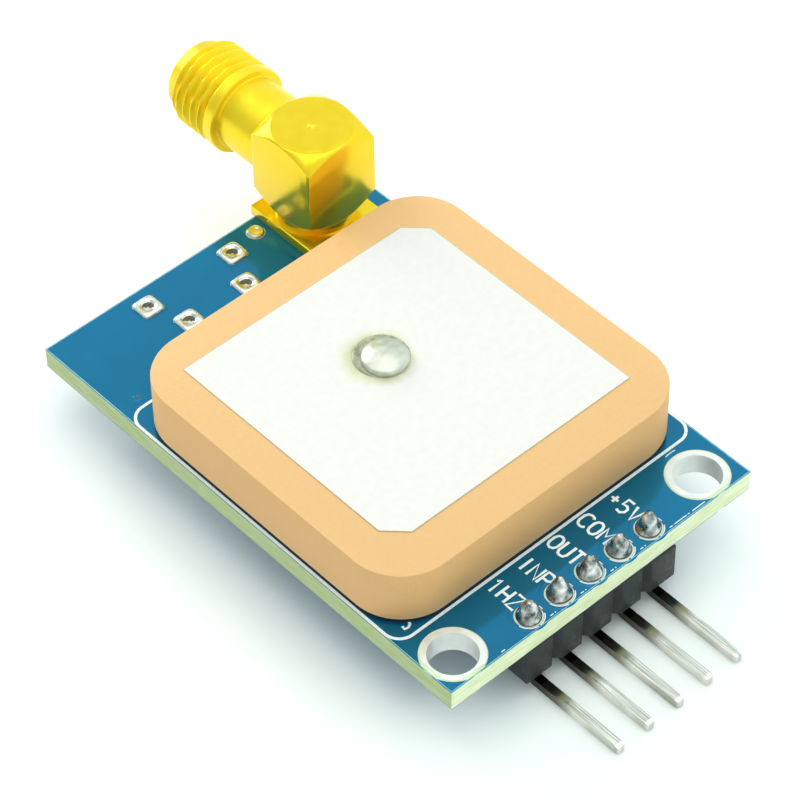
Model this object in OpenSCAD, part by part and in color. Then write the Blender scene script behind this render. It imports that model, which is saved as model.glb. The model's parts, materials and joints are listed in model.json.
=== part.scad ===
// Satellite receiver board with a ceramic patch antenna, a right-angle coax jack,
// a micro data socket underneath and a five-pin header hung under the front edge.
// Millimetres. Origin midway between the two mounting holes on the board's underside,
// +Z up through the antenna, +Y from the header towards the coax jack.

/* [Board] */
// Finished thickness of the circuit board, solder mask included
board_t = 1.6; // [1:0.1:2.4]
// Margin of board beside the antenna on each long side
side_margin = 0.2; // [0.1:0.05:3]
// Strip of board in front of the antenna, on the header side
front_strip = 4.87; // [4.4:0.01:9]
// Strip of board behind the antenna, on the connector side
rear_strip = 8.23; // [7.8:0.01:14]
// Sideways offset of the board's middle from the middle of the mounting holes
board_shift = 0.25; // [0:0.05:0.5]
// Diameter of the two mounting holes
hole_d = 3.2; // [2.4:0.1:3.4]
// Width of the metal ring round each mounting hole
hole_ring = 0.4; // [0.2:0.05:0.6]
// Distance from a mounting hole's middle to the nearer long edge, on average
hole_inset = 2.32; // [2.2:0.01:3.5]
// Distance from a mounting hole's middle to the front edge
hole_edge = 2.08; // [2:0.01:2.6]
// Thickness of the solder mask and of the pads beside it
film_t = 0.04; // [0.03:0.01:0.1]
// Wall of the plating inside a plated hole
plate_wall = 0.05; // [0.03:0.01:0.1]
// Gap between a pad and the solder mask round it
mask_gap = 0.06; // [0.04:0.01:0.2]
// Gap between a mounting hole's ring and the solder mask
ring_gap = 0.1; // [0.04:0.01:0.3]
// Bare border between the copper and the board's edges
copper_edge = 0.3; // [0.2:0.01:0.32]
// Width of the printed line round the antenna
line_w = 0.2; // [0.1:0.01:0.3]
// Thickness of the printed ink
ink_t = 0.02; // [0.01:0.01:0.04]

/* [Antenna] */
// Side of the square ceramic block
ceramic_w = 25; // [20:0.5:30]
// Height of the ceramic block
ceramic_h = 4; // [2:0.1:6]
// Corner radius of the ceramic block
ceramic_r = 3.8; // [1:0.1:5]
// Thickness of the adhesive tape under the antenna
tape_t = 0.3; // [0.2:0.05:1]
// How far the tape stays inside the ceramic's outline
tape_inset = 0.06; // [0.02:0.02:1]
// Thickness of the fired silver films
silver_t = 0.05; // [0.03:0.01:0.1]
// Electrode size across the board
electrode_w = 19.7; // [16:0.1:22]
// Electrode size along the board
electrode_l = 19.4; // [16:0.1:22]
// Leg of the cut at two opposite corners of the electrode
electrode_cut = 1.4; // [0.5:0.1:3]
// Electrode offset from the ceramic's middle, along the board
electrode_dy = 0.3; // [-0.5:0.05:0.5]
// Feed pin offset from the ceramic's middle, along the board
feed_dy = 2.6; // [1.5:0.1:3.5]
// Feed pin offset from the ceramic's middle, across the board
feed_dx = 0.25; // [-1:0.05:1]
// Diameter of the feed pin
feed_d = 0.9; // [0.6:0.05:1.2]
// Diameter of the feed pin's domed head
feed_head_d = 2.3; // [1.8:0.1:3]
// Height of the feed pin's domed head
feed_head_h = 0.75; // [0.4:0.05:1]
// Width of the solder rim round the feed pin's head
feed_rim = 0.45; // [0.2:0.05:0.8]

/* [Header] */
// Distance between neighbouring pins
pitch = 2.54; // [2:0.01:2.54]
// Width of a square pin
pin_w = 0.64; // [0.4:0.02:0.7]
// Height of the plastic block under the board
header_h = 2.8; // [2:0.1:4]
// Depth of the plastic block, front to back
header_d = 2.5; // [2:0.1:3]
// Leg of the cut at each corner of a cell of the block
cell_cut = 0.43; // [0.2:0.01:0.6]
// Distance from the row of pins to the board's front edge
header_edge = 1.1; // [1.05:0.05:2]
// Centre-line radius of the bend in each pin
bend_r = 0.95; // [0.6:0.05:1.5]
// Reach of a pin's level leg from the row's middle
pin_reach = 8.1; // [5:0.1:10]
// Height of a pin's upper end above the board
pin_rise = 1.1; // [0.8:0.1:1.5]
// Length of the taper at each end of a pin
tip_l = 0.5; // [0.3:0.05:0.8]
// Width of a pin at its very end
tip_w = 0.34; // [0.2:0.02:0.38]
// Outer diameter of a header pad
header_pad_d = 1.75; // [1.5:0.05:1.85]
// Clearance of a pin in its plated hole, each side
pin_gap = 0.1; // [0.05:0.01:0.15]
// Height of the solder above a pin's upper end
solder_cap = 0.3; // [0.1:0.05:0.6]

/* [Coax jack] */
// Distance from the jack's upright axis to the board's rear edge
coax_edge = 2.7; // [2.6:0.05:4]
// Distance from the jack's upright axis to the board's right edge
coax_right = 4.6; // [3.7:0.1:5.2]
// Side of the square base plate
base_w = 6.1; // [5.5:0.1:6.6]
// Thickness of the base plate
base_t = 0.8; // [0.5:0.1:1.5]
// Height of the round neck between the base plate and the block
neck_h = 0.7; // [0.3:0.1:2]
// Side of the square elbow block
block_w = 5.7; // [5.5:0.1:6.5]
// Diameter of the round neck and of the ends of the block's turned tapers
turn_d = 5.5; // [5:0.1:5.7]
// Height of the turned taper under the block
taper_low = 1.1; // [0.5:0.1:1.5]
// Height of the block's upright edges
edge_h = 4.6; // [4:0.1:7]
// Height of the turned taper on top of the block
taper_top = 0.9; // [0.5:0.1:1.5]
// Diameter of the cap pressed into the top of the block
cap_d = 4.4; // [4.3:0.1:4.9]
// Thickness of the cap
cap_t = 0.5; // [0.3:0.1:0.8]
// Diameter of the nib left on the cap by turning
nib_d = 0.6; // [0.3:0.1:1]
// Diameter of the barrel's plain stem
stem_d = 5.3; // [5.2:0.1:5.6]
// Outside diameter of the barrel's thread
thread_d = 6.35; // [6:0.05:7]
// Length of the thread and of the collar behind it
thread_l = 4.3; // [3:0.1:6]
// Diameter of the smooth lead in front of the thread
lead_d = 5.1; // [5:0.05:5.5]
// Length of the smooth lead
lead_l = 0.9; // [0.5:0.1:2]
// Distance from the upright axis to the barrel's mouth
coax_reach = 11.8; // [10:0.1:15]
// Diameter of the barrel's mouth
mouth_d = 4.6; // [4.3:0.05:4.7]
// Depth of the barrel's mouth
mouth_l = 1.9; // [1:0.1:2.5]
// Diameter of the white dielectric
dielectric_d = 4.1; // [3.5:0.05:4.2]
// Diameter of the centre contact
contact_d = 1.27; // [1:0.01:1.4]
// Diameter of the hole in the contact's open end
contact_bore = 0.92; // [0.8:0.01:0.94]
// Depth of the hole in the contact's open end
contact_depth = 2.5; // [1.5:0.1:3]
// Diameter of the spigot that presses the barrel into the block
spigot_d = 4.7; // [4.4:0.05:5]
// Length of that spigot
spigot_l = 0.7; // [0.3:0.05:0.75]
// Diameter of a soldering leg
leg_d = 0.9; // [0.6:0.05:1]
// Distance between neighbouring legs
leg_pitch = 3.9; // [3.8:0.05:4]
// Length of the legs and the contact below the board
leg_out = 1.3; // [0.8:0.1:2]
// Clearance of a leg in its plated hole, each side
leg_gap = 0.06; // [0.04:0.01:0.08]
// Width of the pad ring round a leg's hole
leg_ring = 0.14; // [0.1:0.01:0.16]

/* [Data socket] */
// Distance from the board's middle line to the socket's middle
socket_side = -1.88; // [-4:0.01:0]
// Distance from the front pair of legs to the board's rear edge
socket_edge = 1.63; // [1.4:0.01:3]
// Distance between the front and rear pairs of legs
socket_rows = 2.75; // [2.4:0.05:3.2]
// Width of the shell at its wide face
socket_w = 7.5; // [7:0.05:8]
// Width of the shell at the face against the board
socket_narrow = 5.16; // [4.8:0.02:5.6]
// Height of the shell
socket_h = 2.6; // [2.4:0.05:3.2]
// Height of the slanted sides next to the board
socket_slant = 0.85; // [0.5:0.05:1.2]
// Length of the shell
socket_l = 5.5; // [5.2:0.1:7]
// Thickness of the shell's sheet metal
sheet_t = 0.3; // [0.2:0.02:0.35]
// Width of a shell leg along the board
tab_l = 0.9; // [0.6:0.05:1]
// Side of the square pad round a shell leg
tab_pad = 1.7; // [1.6:0.05:2]
// Clearance of a shell leg in its slot
tab_gap = 0.12; // [0.08:0.01:0.15]
// Depth of the plastic that closes the shell's rear
plug_l = 1.4; // [1:0.1:2]
// Thickness of the plastic tongue
tongue_t = 0.6; // [0.5:0.05:0.7]
// Width of the plastic tongue
tongue_w = 3.7; // [3.4:0.05:4.2]
// Distance between neighbouring socket contacts
contact_pitch = 0.65; // [0.55:0.01:0.7]

/* [Underside parts] */
// Size of the receiver module across the board
receiver_w = 16; // [12:0.1:18]
// Size of the receiver module along the board
receiver_l = 12.2; // [10:0.1:12.5]
// Distance from the board's front edge to the receiver module
receiver_edge = 5.3; // [4:0.1:6]
// Thickness of the receiver's own small board
receiver_t = 0.8; // [0.6:0.1:1.2]
// Height of the receiver's shield can
shield_h = 1.6; // [1:0.1:1.7]
// How far the shield can stays inside the small board
shield_inset = 0.9; // [0.6:0.05:1.5]
// Diameter of the backup cell
cell_d = 6.8; // [4.8:0.1:7]
// Height of the backup cell
cell_h = 2.1; // [1.4:0.1:2.2]
// Distance from the backup cell's rim to the board's edge
cell_margin = 1.9; // [0.5:0.1:2.5]
// Thickness of the backup cell's solder tabs
tab_t = 0.15; // [0.1:0.01:0.2]
// Width of the backup cell's solder tabs
tab_w = 2.4; // [1.5:0.1:4]
// Length of a tab beyond the cell's rim
tab_out = 1.3; // [0.8:0.1:1.6]
// Gap between the cell's rim and the folded tab beside it
tab_fold_gap = 0.25; // [0.15:0.05:0.5]
// Width of the memory chip's body
memory_w = 3.9; // [3:0.1:4.4]
// Length of the memory chip's body
memory_l = 4.9; // [4.6:0.1:6]
// Height of the memory chip's body
memory_h = 1.45; // [0.8:0.05:1.8]
// Width of the memory chip over its leads
memory_span = 6; // [5.4:0.1:7]
// Distance between the memory chip's neighbouring leads
memory_pitch = 1.27; // [1:0.01:1.4]
// Distance from the memory chip's leads to the board's edge
memory_margin = 2.7; // [1:0.1:3.5]
// Length of the regulator's body
regulator_l = 2.9; // [2.6:0.1:3.2]
// Width of the regulator's body
regulator_w = 1.6; // [1.2:0.1:1.8]
// Height of the regulator's body
regulator_h = 1.1; // [0.8:0.05:1.4]
// Width of the regulator over its leads
regulator_span = 2.8; // [2.5:0.1:3.2]
// Distance between the regulator's neighbouring leads
regulator_pitch = 0.95; // [0.8:0.01:1]
// Distance from the regulator to the board's middle line
regulator_side = 0.6; // [0:0.1:1]
// Thickness of the chips' leads
lead_t = 0.15; // [0.1:0.01:0.2]
// Gap between a leaded chip's body and the board
standoff = 0.1; // [0.05:0.01:0.2]
// Length of a resistor
resistor_l = 1.6; // [1:0.1:2]
// Width of a resistor
resistor_w = 0.8; // [0.5:0.05:1]
// Height of a resistor
resistor_h = 0.45; // [0.3:0.05:0.6]
// Length of a capacitor
capacitor_l = 2; // [1.6:0.1:2.4]
// Width of a capacitor
capacitor_w = 1.25; // [0.8:0.05:1.4]
// Height of a capacitor
capacitor_h = 0.9; // [0.5:0.05:1.2]
// Length of the metal cap at each end of a small part
terminal_l = 0.3; // [0.2:0.02:0.4]
// Height of the status lamp's base
led_h = 0.6; // [0.4:0.05:0.9]
// Height of the status lamp's lens
led_lens_h = 0.35; // [0.2:0.05:0.6]
// Distance from the status lamp's middle to the board's edge
led_margin = 2.3; // [1.5:0.1:3]
// Distance from the status lamp's middle to the board's rear edge
led_edge = 4; // [2:0.1:5]
// Distance of the resistor rows from the middle of the strip between receiver and socket
resistor_row = 3; // [2.6:0.1:3.4]
// Distance of the small parts from the regulator's middle, to each side
small_side = 1.95; // [1.6:0.05:2.1]
// Distance of the capacitor row from the middle of that strip
capacitor_row = 4.9; // [4.6:0.1:5.2]

/* [Hidden] */
$fn = 48;
eps = 1;
pin_count = 5;
mask_blue = "#1f6fa6";
laminate_green = "#c3d8a4";
tin_silver = "#c9cdce";
solder_grey = "#b7bbbc";
gold = "#e8c832";
black_plastic = "#34383a";
ptfe_white = "#f1efe8";

// Board outline
board_w = ceramic_w + 2 * side_margin;
board_l = front_strip + ceramic_w + rear_strip;
front_y = -hole_edge;
rear_y = front_y + board_l;
board_x = board_shift;
board_y = front_y + board_l / 2;
laminate_t = board_t - 2 * film_t;
hole_spacing = board_w - 2 * hole_inset;
ring_d = hole_d + 2 * hole_ring;

// Antenna
antenna_y = front_y + front_strip + ceramic_w / 2;
feed_x = board_x + feed_dx;
feed_y = antenna_y + feed_dy;
ground_z = board_t + tape_t;
ceramic_z = ground_z + silver_t;
electrode_z = ceramic_z + ceramic_h;
head_z = electrode_z + silver_t;
feed_hole_d = feed_d + 0.2;
feed_pad_d = feed_d + 1;
feed_out = 0.8;

// Header
header_y = front_y + header_edge;
pin_top = board_t + pin_rise;
pin_low = -header_h - bend_r;
pin_hole_d = pin_w * sqrt(2) + 2 * pin_gap;
solder_top = pin_rise + solder_cap;

// Coax jack, heights above the board
coax_x = board_x + board_w / 2 - coax_right;
coax_y = rear_y - coax_edge;
block_low = base_t + neck_h;
edge_low = block_low + taper_low;
edge_high = edge_low + edge_h;
block_top = edge_high + taper_top;
axis_h = edge_low + edge_h / 2;
corner_r = block_w / sqrt(2) + 0.01;
thread_end = coax_reach - lead_l;
collar_y = thread_end - thread_l;
lead_cut = 0.1;
nib_h = 0.12;
leg_hole_d = leg_d + 2 * leg_gap;
contact_hole_d = contact_d + 2 * leg_gap;

// Small plated hole beside the jack
via_x = coax_x - base_w / 2 - 0.91;
via_y = rear_y - 1.18;
via_hole_d = 0.5;
via_pad_d = 1.2;
via_dome_h = 0.18;

// Data socket
socket_x = board_x + socket_side;
tab_y = rear_y - socket_edge;
tab_in_y = tab_y - socket_rows;
socket_back = tab_in_y - tab_l / 2 - 0.2;
tab_x = (socket_w - sheet_t) / 2;
tab_in_x = (socket_narrow - sheet_t) / 2;
slot_w = sheet_t + 2 * tab_gap;
slot_l = tab_l + 2 * tab_gap;
tab_pad_r = 0.25;
tongue_z = -socket_h * 0.42;
strip_w = 0.3;
strip_t = 0.12;
tail_l = 0.9;

// Underside parts
receiver_y = front_y + receiver_edge + receiver_l / 2;
free_y = (receiver_y + receiver_l / 2 + socket_back) / 2;
cell_x = board_x - board_w / 2 + cell_margin + cell_d / 2;
memory_x = board_x + board_w / 2 - memory_margin - memory_span / 2;
regulator_x = board_x - regulator_side;
memory_size = [memory_w, memory_l, memory_h];
regulator_size = [regulator_l, regulator_w, regulator_h];
resistor_size = [resistor_l, resistor_w, resistor_h];
capacitor_size = [capacitor_l, capacitor_w, capacitor_h];
led_size = [capacitor_l, capacitor_w, led_h];
led_at = [board_x - board_w / 2 + led_margin, rear_y - led_edge];
led_resistor_at = [led_at[0] + capacitor_l / 2 + resistor_l, led_at[1]];
small_left = regulator_x - small_side;
small_right = regulator_x + small_side;
resistor_at = [
    [small_left, free_y - resistor_row], [small_right, free_y - resistor_row],
    [small_left, free_y + resistor_row], [small_right, free_y + resistor_row], led_resistor_at
];
capacitor_at = [
    [small_left, free_y + capacitor_row], [small_right, free_y + capacitor_row],
    [memory_x, free_y + memory_l / 2 + 2 * capacitor_w]
];

function pin_x(i) = pitch * (i - (pin_count + 1) / 2);
function leg_places() = [for (x = [-1, 1], y = [-1, 1]) [x * leg_pitch / 2, y * leg_pitch / 2]];
function tab_places() = [for (s = [-1, 1], row = [0, 1])
    [socket_x + s * (row == 0 ? tab_x : tab_in_x), row == 0 ? tab_y : tab_in_y]];
// Section of the socket's shell, drawn in by a wall's thickness; y is the height below the board
function shell_section(wall) = let (
    narrow = socket_narrow / 2 - wall / 2,
    wide = socket_w / 2 - wall,
    slant = -socket_slant - wall / 2,
    low = wall - socket_h
) [[-narrow, -wall], [narrow, -wall], [wide, slant], [wide, low], [-wide, low], [-wide, slant]];

module rounded_rect(w, l, r) {
    square([w - 2 * r, l], center = true);
    square([w, l - 2 * r], center = true);
    for (x = [-1, 1], y = [-1, 1])
        translate([x * (w / 2 - r), y * (l / 2 - r)]) circle(r = r);
}

// Lining of a plated hole with a flat ring on each face of the board
module plated_hole(bore_d, pad_d) {
    difference() {
        union() {
            cylinder(d = bore_d + 2 * plate_wall, h = board_t);
            cylinder(d = pad_d, h = film_t);
            translate([0, 0, board_t - film_t]) cylinder(d = pad_d, h = film_t);
        }
        translate([0, 0, -eps]) cylinder(d = bore_d, h = board_t + 2 * eps);
    }
}

// A hole's outline at a given size, for the laminate and for the solder mask
module hole_spots(grow_ring, use_bore) {
    for (s = [-1, 1])
        translate([s * hole_spacing / 2, 0])
            circle(d = use_bore ? hole_d + 2 * plate_wall : ring_d + 2 * ring_gap);
    for (i = [1:pin_count])
        translate([pin_x(i), header_y])
            circle(d = use_bore ? pin_hole_d + 2 * plate_wall : header_pad_d + 2 * grow_ring);
    for (p = leg_places())
        translate([coax_x + p[0], coax_y + p[1]])
            circle(d = leg_hole_d + 2 * (use_bore ? plate_wall : leg_ring + grow_ring / 2));
    translate([coax_x, coax_y])
        circle(d = contact_hole_d + 2 * (use_bore ? plate_wall : leg_ring + grow_ring / 2));
    for (p = tab_places())
        translate(p) square(use_bore ? [slot_w, slot_l] : [tab_pad, tab_pad] + 2 * [grow_ring, grow_ring],
            center = true);
    translate([feed_x, feed_y])
        circle(d = use_bore ? feed_hole_d + 2 * plate_wall : feed_pad_d + 2 * grow_ring);
    translate([via_x, via_y])
        circle(d = use_bore ? via_hole_d + 2 * plate_wall : via_pad_d + 2 * grow_ring);
}

module mask_sheet() {
    color(mask_blue)
        linear_extrude(film_t)
            difference() {
                translate([board_x, board_y]) square([board_w, board_l], center = true);
                hole_spots(mask_gap, false);
            }
}

module board() {
    color(laminate_green)
        translate([0, 0, film_t])
            linear_extrude(laminate_t)
                difference() {
                    translate([board_x, board_y]) square([board_w, board_l], center = true);
                    hole_spots(0, true);
                }
}

module solder_mask_top() {
    translate([0, 0, board_t - film_t]) mask_sheet();
}

module solder_mask_bottom() {
    mask_sheet();
}

module hole_plating() {
    color(tin_silver)
        for (s = [-1, 1])
            intersection() {
                translate([s * hole_spacing / 2, 0, 0]) plated_hole(hole_d, ring_d);
                translate([board_x, board_y, -eps])
                    linear_extrude(board_t + 2 * eps)
                        square([board_w - 2 * copper_edge, board_l - 2 * copper_edge], center = true);
            }
}

module header_pads() {
    color(tin_silver)
        for (i = [1:pin_count])
            translate([pin_x(i), header_y, 0]) plated_hole(pin_hole_d, header_pad_d);
}

// Flat square pads on both faces round each slot for a shell leg
module socket_pads() {
    color(tin_silver)
        for (p = tab_places(), z = [0, board_t - film_t])
            translate([p[0], p[1], z])
                linear_extrude(film_t)
                    difference() {
                        rounded_rect(tab_pad, tab_pad, tab_pad_r);
                        square([slot_w, slot_l], center = true);
                    }
}

module coax_pads() {
    color(tin_silver)
        translate([coax_x, coax_y, 0]) {
            for (p = leg_places())
                translate(p) plated_hole(leg_hole_d, leg_hole_d + 2 * leg_ring);
            plated_hole(contact_hole_d, contact_hole_d + 2 * leg_ring);
        }
}

module feed_pad() {
    color(tin_silver)
        translate([feed_x, feed_y, 0]) plated_hole(feed_hole_d, feed_pad_d);
}

module ground_via() {
    color(tin_silver)
        translate([via_x, via_y, 0]) plated_hole(via_hole_d, via_pad_d);
}

// Solder that fills the via and stands up as a low dome
module via_solder() {
    dome_r = (pow(via_pad_d / 2, 2) + pow(via_dome_h, 2)) / (2 * via_dome_h);
    color(solder_grey)
        translate([via_x, via_y, 0]) {
            cylinder(d = via_hole_d, h = board_t + via_dome_h / 2);
            translate([0, 0, board_t])
                intersection() {
                    translate([0, 0, via_dome_h - dome_r]) sphere(r = dome_r);
                    cylinder(d = via_pad_d, h = via_dome_h);
                }
        }
}

module silkscreen_outline() {
    outline_w = board_w - line_w / 4;
    outline_l = ceramic_w + 2 * line_w;
    outline_r = 1.3;
    color("white")
        translate([board_x, antenna_y, board_t])
            linear_extrude(ink_t)
                difference() {
                    rounded_rect(outline_w, outline_l, outline_r);
                    rounded_rect(outline_w - 2 * line_w, outline_l - 2 * line_w, outline_r - line_w);
                }
}

module antenna_sheet(inset, hole) {
    difference() {
        rounded_rect(ceramic_w - 2 * inset, ceramic_w - 2 * inset, ceramic_r - inset);
        translate([feed_dx, feed_dy]) circle(d = hole);
    }
}

module adhesive_pad() {
    color("#1b1b1c")
        translate([board_x, antenna_y, board_t])
            linear_extrude(tape_t) antenna_sheet(tape_inset, feed_d + 2);
}

module ground_electrode() {
    color(tin_silver)
        translate([board_x, antenna_y, ground_z])
            linear_extrude(silver_t) antenna_sheet(tape_inset, feed_d + 2);
}

module ceramic_body() {
    color("#f2c78c")
        translate([board_x, antenna_y, ceramic_z])
            linear_extrude(ceramic_h) antenna_sheet(0, feed_d);
}

// Square film with two opposite corners cut, for circular polarisation
module antenna_electrode() {
    a = electrode_w / 2;
    b = electrode_l / 2;
    c = electrode_cut;
    color("#f7f5ea")
        translate([board_x, antenna_y, electrode_z])
            linear_extrude(silver_t)
                difference() {
                    translate([0, electrode_dy])
                        polygon([[c - a, -b], [a, -b], [a, b - c], [a - c, b], [-a, b], [-a, c - b]]);
                    translate([feed_dx, feed_dy]) circle(d = feed_d);
                }
}

module feed_pin() {
    head_r = (pow(feed_head_d / 2, 2) + pow(feed_head_h, 2)) / (2 * feed_head_h);
    color(tin_silver)
        translate([feed_x, feed_y, 0]) {
            translate([0, 0, -feed_out]) cylinder(d = feed_d, h = head_z + feed_out + feed_head_h / 2);
            translate([0, 0, head_z])
                intersection() {
                    translate([0, 0, feed_head_h - head_r]) sphere(r = head_r);
                    cylinder(d = feed_head_d, h = feed_head_h);
                }
        }
}

// Solder rim that wets the electrode round the head, and the joint under the board
module feed_solder() {
    rim_r = feed_head_d / 2 + feed_rim;
    cone_r = feed_pad_d / 2;
    color(solder_grey)
        translate([feed_x, feed_y, 0]) {
            translate([0, 0, head_z])
                difference() {
                    cylinder(r1 = rim_r, r2 = feed_head_d / 2 - 0.05, h = feed_head_h * 0.6);
                    translate([0, 0, -head_z]) feed_pin_head_cut();
                }
            translate([0, 0, -feed_out * 0.8])
                difference() {
                    cylinder(r1 = feed_d / 2 + 0.08, r2 = cone_r, h = feed_out * 0.8);
                    translate([0, 0, -eps]) cylinder(d = feed_d, h = feed_out + 2 * eps);
                }
        }
}

// The head's own dome, carried down past the rim so that the rim closes on it
module feed_pin_head_cut() {
    head_r = (pow(feed_head_d / 2, 2) + pow(feed_head_h, 2)) / (2 * feed_head_h);
    translate([0, 0, head_z])
        intersection() {
            translate([0, 0, feed_head_h - head_r]) sphere(r = head_r);
            translate([0, 0, -eps]) cylinder(d = 2 * feed_head_d, h = feed_head_h + eps);
        }
}

module cell_section() {
    a = pitch / 2;
    b = header_d / 2;
    c = cell_cut;
    polygon([[c - a, -b], [a - c, -b], [a, c - b], [a, b - c], [a - c, b], [c - a, b], [-a, b - c], [-a, c - b]]);
}

// Block of five eight-sided cells with a square hole for each pin
module header_housing() {
    color(black_plastic)
        translate([0, header_y, -header_h])
            linear_extrude(header_h)
                difference() {
                    for (i = [1:pin_count]) translate([pin_x(i), 0]) cell_section();
                    for (i = [1:pin_count]) translate([pin_x(i), 0]) square(pin_w, center = true);
                }
}

// Side view of a bent pin: upright leg, quarter bend and level leg
module pin_side() {
    translate([header_y - pin_w / 2, pin_low + bend_r])
        square([pin_w, pin_top - pin_low - bend_r]);
    translate([header_y - bend_r, pin_low + bend_r])
        intersection() {
            difference() {
                circle(r = bend_r + pin_w / 2);
                circle(r = bend_r - pin_w / 2);
            }
            translate([0, -2 * bend_r]) square(2 * bend_r);
        }
    translate([header_y - pin_reach, pin_low - pin_w / 2])
        square([pin_reach - bend_r, pin_w]);
}

// Four wedges that taper the last stretch of a pin that ends at the origin, pointing up
module tip_cut() {
    for (a = [0:90:270])
        rotate(a)
            rotate([90, 0, 0])
                linear_extrude(2 * pin_w, center = true)
                    polygon([[pin_w / 2, -tip_l], [pin_w, -tip_l], [pin_w, 0], [tip_w / 2, 0]]);
}

module bent_pin(i) {
    color(tin_silver)
        translate([pin_x(i), 0, 0])
            difference() {
                rotate([90, 0, 90]) linear_extrude(pin_w, center = true) pin_side();
                translate([0, header_y, pin_top]) tip_cut();
                translate([0, header_y - pin_reach, pin_low]) rotate([90, 0, 0]) tip_cut();
            }
}

// Solder peaks that cover the upper ends of the pins
module header_solder() {
    foot_r = header_pad_d / 2;
    color(solder_grey)
        for (i = [1:pin_count])
            difference() {
                translate([pin_x(i), header_y, board_t])
                    rotate_extrude()
                        polygon([
                            [0, 0], [foot_r, 0], [foot_r * 0.74, solder_top * 0.26], [foot_r * 0.6, solder_top * 0.55],
                            [foot_r * 0.45, solder_top * 0.85], [foot_r * 0.2, solder_top], [0, solder_top]
                        ]);
                bent_pin(i);
            }
}

module coax_at() {
    translate([coax_x, coax_y, board_t]) children();
}

// Barrel direction: what is drawn along +Z comes to lie along +Y at the axis height
module along_barrel() {
    coax_at() translate([0, 0, axis_h]) rotate([-90, 0, 0]) children();
}

// Square elbow block with its corners turned down above and below, on a round neck,
// a square base plate and four legs
module coax_body() {
    color(gold)
        difference() {
            coax_at() {
                translate([-base_w / 2, -base_w / 2, 0]) cube([base_w, base_w, base_t]);
                translate([0, 0, base_t / 2]) cylinder(d = turn_d, h = neck_h + base_t / 2);
                intersection() {
                    rotate_extrude()
                        polygon([
                            [0, block_low], [turn_d / 2, block_low], [corner_r, edge_low],
                            [corner_r, edge_high], [turn_d / 2, block_top], [0, block_top]
                        ]);
                    translate([-block_w / 2, -block_w / 2, block_low])
                        cube([block_w, block_w, block_top - block_low]);
                }
                for (p = leg_places())
                    translate([p[0], p[1], -board_t - leg_out])
                        cylinder(d = leg_d, h = board_t + leg_out + base_t / 2);
            }
            coax_at() {
                translate([0, 0, -eps]) cylinder(d = dielectric_d, h = block_top - cap_t + eps);
                translate([0, 0, block_top - cap_t]) cylinder(d = cap_d, h = cap_t + eps);
            }
            along_barrel() {
                cylinder(d = dielectric_d, h = block_w);
                translate([0, 0, block_w / 2 - spigot_l]) cylinder(d = spigot_d, h = spigot_l + eps);
            }
        }
}

// Turned barrel: spigot, plain stem, collar with the thread's outside diameter, smooth lead and open mouth
module coax_barrel() {
    mouth_y = coax_reach - mouth_l;
    face_y = block_w / 2;
    color(gold)
        along_barrel()
            rotate_extrude()
                polygon([
                    [dielectric_d / 2, face_y - spigot_l], [spigot_d / 2, face_y - spigot_l],
                    [spigot_d / 2, face_y], [stem_d / 2, face_y],
                    [stem_d / 2, collar_y], [thread_d / 2, collar_y],
                    [thread_d / 2, thread_end], [lead_d / 2, thread_end],
                    [lead_d / 2, coax_reach - lead_cut], [lead_d / 2 - lead_cut, coax_reach],
                    [mouth_d / 2, coax_reach], [mouth_d / 2, mouth_y], [dielectric_d / 2, mouth_y]
                ]);
}

module coax_bush() {
    color(ptfe_white)
        coax_at()
            difference() {
                cylinder(d = dielectric_d, h = axis_h - dielectric_d / 2);
                translate([0, 0, -eps]) cylinder(d = contact_d, h = axis_h + eps);
            }
}

module coax_insulator() {
    color(ptfe_white)
        along_barrel()
            translate([0, 0, dielectric_d / 2])
                difference() {
                    cylinder(d = dielectric_d, h = coax_reach - mouth_l - dielectric_d / 2);
                    translate([0, 0, -eps]) cylinder(d = contact_d, h = coax_reach);
                }
}

// Centre contact: a rod up through the base that meets a drilled rod along the barrel
module coax_contact() {
    contact_end = coax_reach - 0.2;
    color(gold)
        difference() {
            union() {
                coax_at() translate([0, 0, -board_t - leg_out]) cylinder(d = contact_d, h = board_t + leg_out + axis_h);
                along_barrel() cylinder(d = contact_d, h = contact_end);
                coax_at() translate([0, 0, axis_h]) sphere(d = contact_d);
            }
            along_barrel()
                translate([0, 0, contact_end - contact_depth]) cylinder(d = contact_bore, h = contact_depth + eps);
        }
}

module coax_cap() {
    color(gold)
        coax_at()
            translate([0, 0, block_top - cap_t]) {
                cylinder(d = cap_d, h = cap_t);
                cylinder(d = nib_d, h = cap_t + nib_h);
            }
}

// Solder cones under the board, one round each leg and one round the contact
module coax_solder() {
    cone_h = leg_out * 0.8;
    color(solder_grey)
        translate([coax_x, coax_y, -cone_h]) {
            for (p = leg_places())
                translate(p) solder_cone(leg_d, leg_hole_d + 2 * leg_ring, cone_h);
            solder_cone(contact_d, contact_hole_d + 2 * leg_ring, cone_h);
        }
}

module solder_cone(rod_d, pad_d, h) {
    difference() {
        cylinder(d1 = rod_d + 0.1, d2 = pad_d, h = h);
        translate([0, 0, -eps]) cylinder(d = rod_d, h = h + 2 * eps);
    }
}

// Folded shell, open to the rear edge, with two pairs of legs up through the board
module socket_shell() {
    color(tin_silver) {
        translate([socket_x, socket_back + socket_l, 0])
            rotate([90, 0, 0])
                linear_extrude(socket_l)
                    difference() {
                        polygon(shell_section(0));
                        polygon(shell_section(sheet_t));
                    }
        for (p = tab_places()) {
            foot = p[1] == tab_y ? socket_slant + sheet_t : sheet_t / 2;
            translate([p[0] - sheet_t / 2, p[1] - tab_l / 2, -foot])
                cube([sheet_t, tab_l, board_t + foot]);
        }
    }
}

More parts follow.
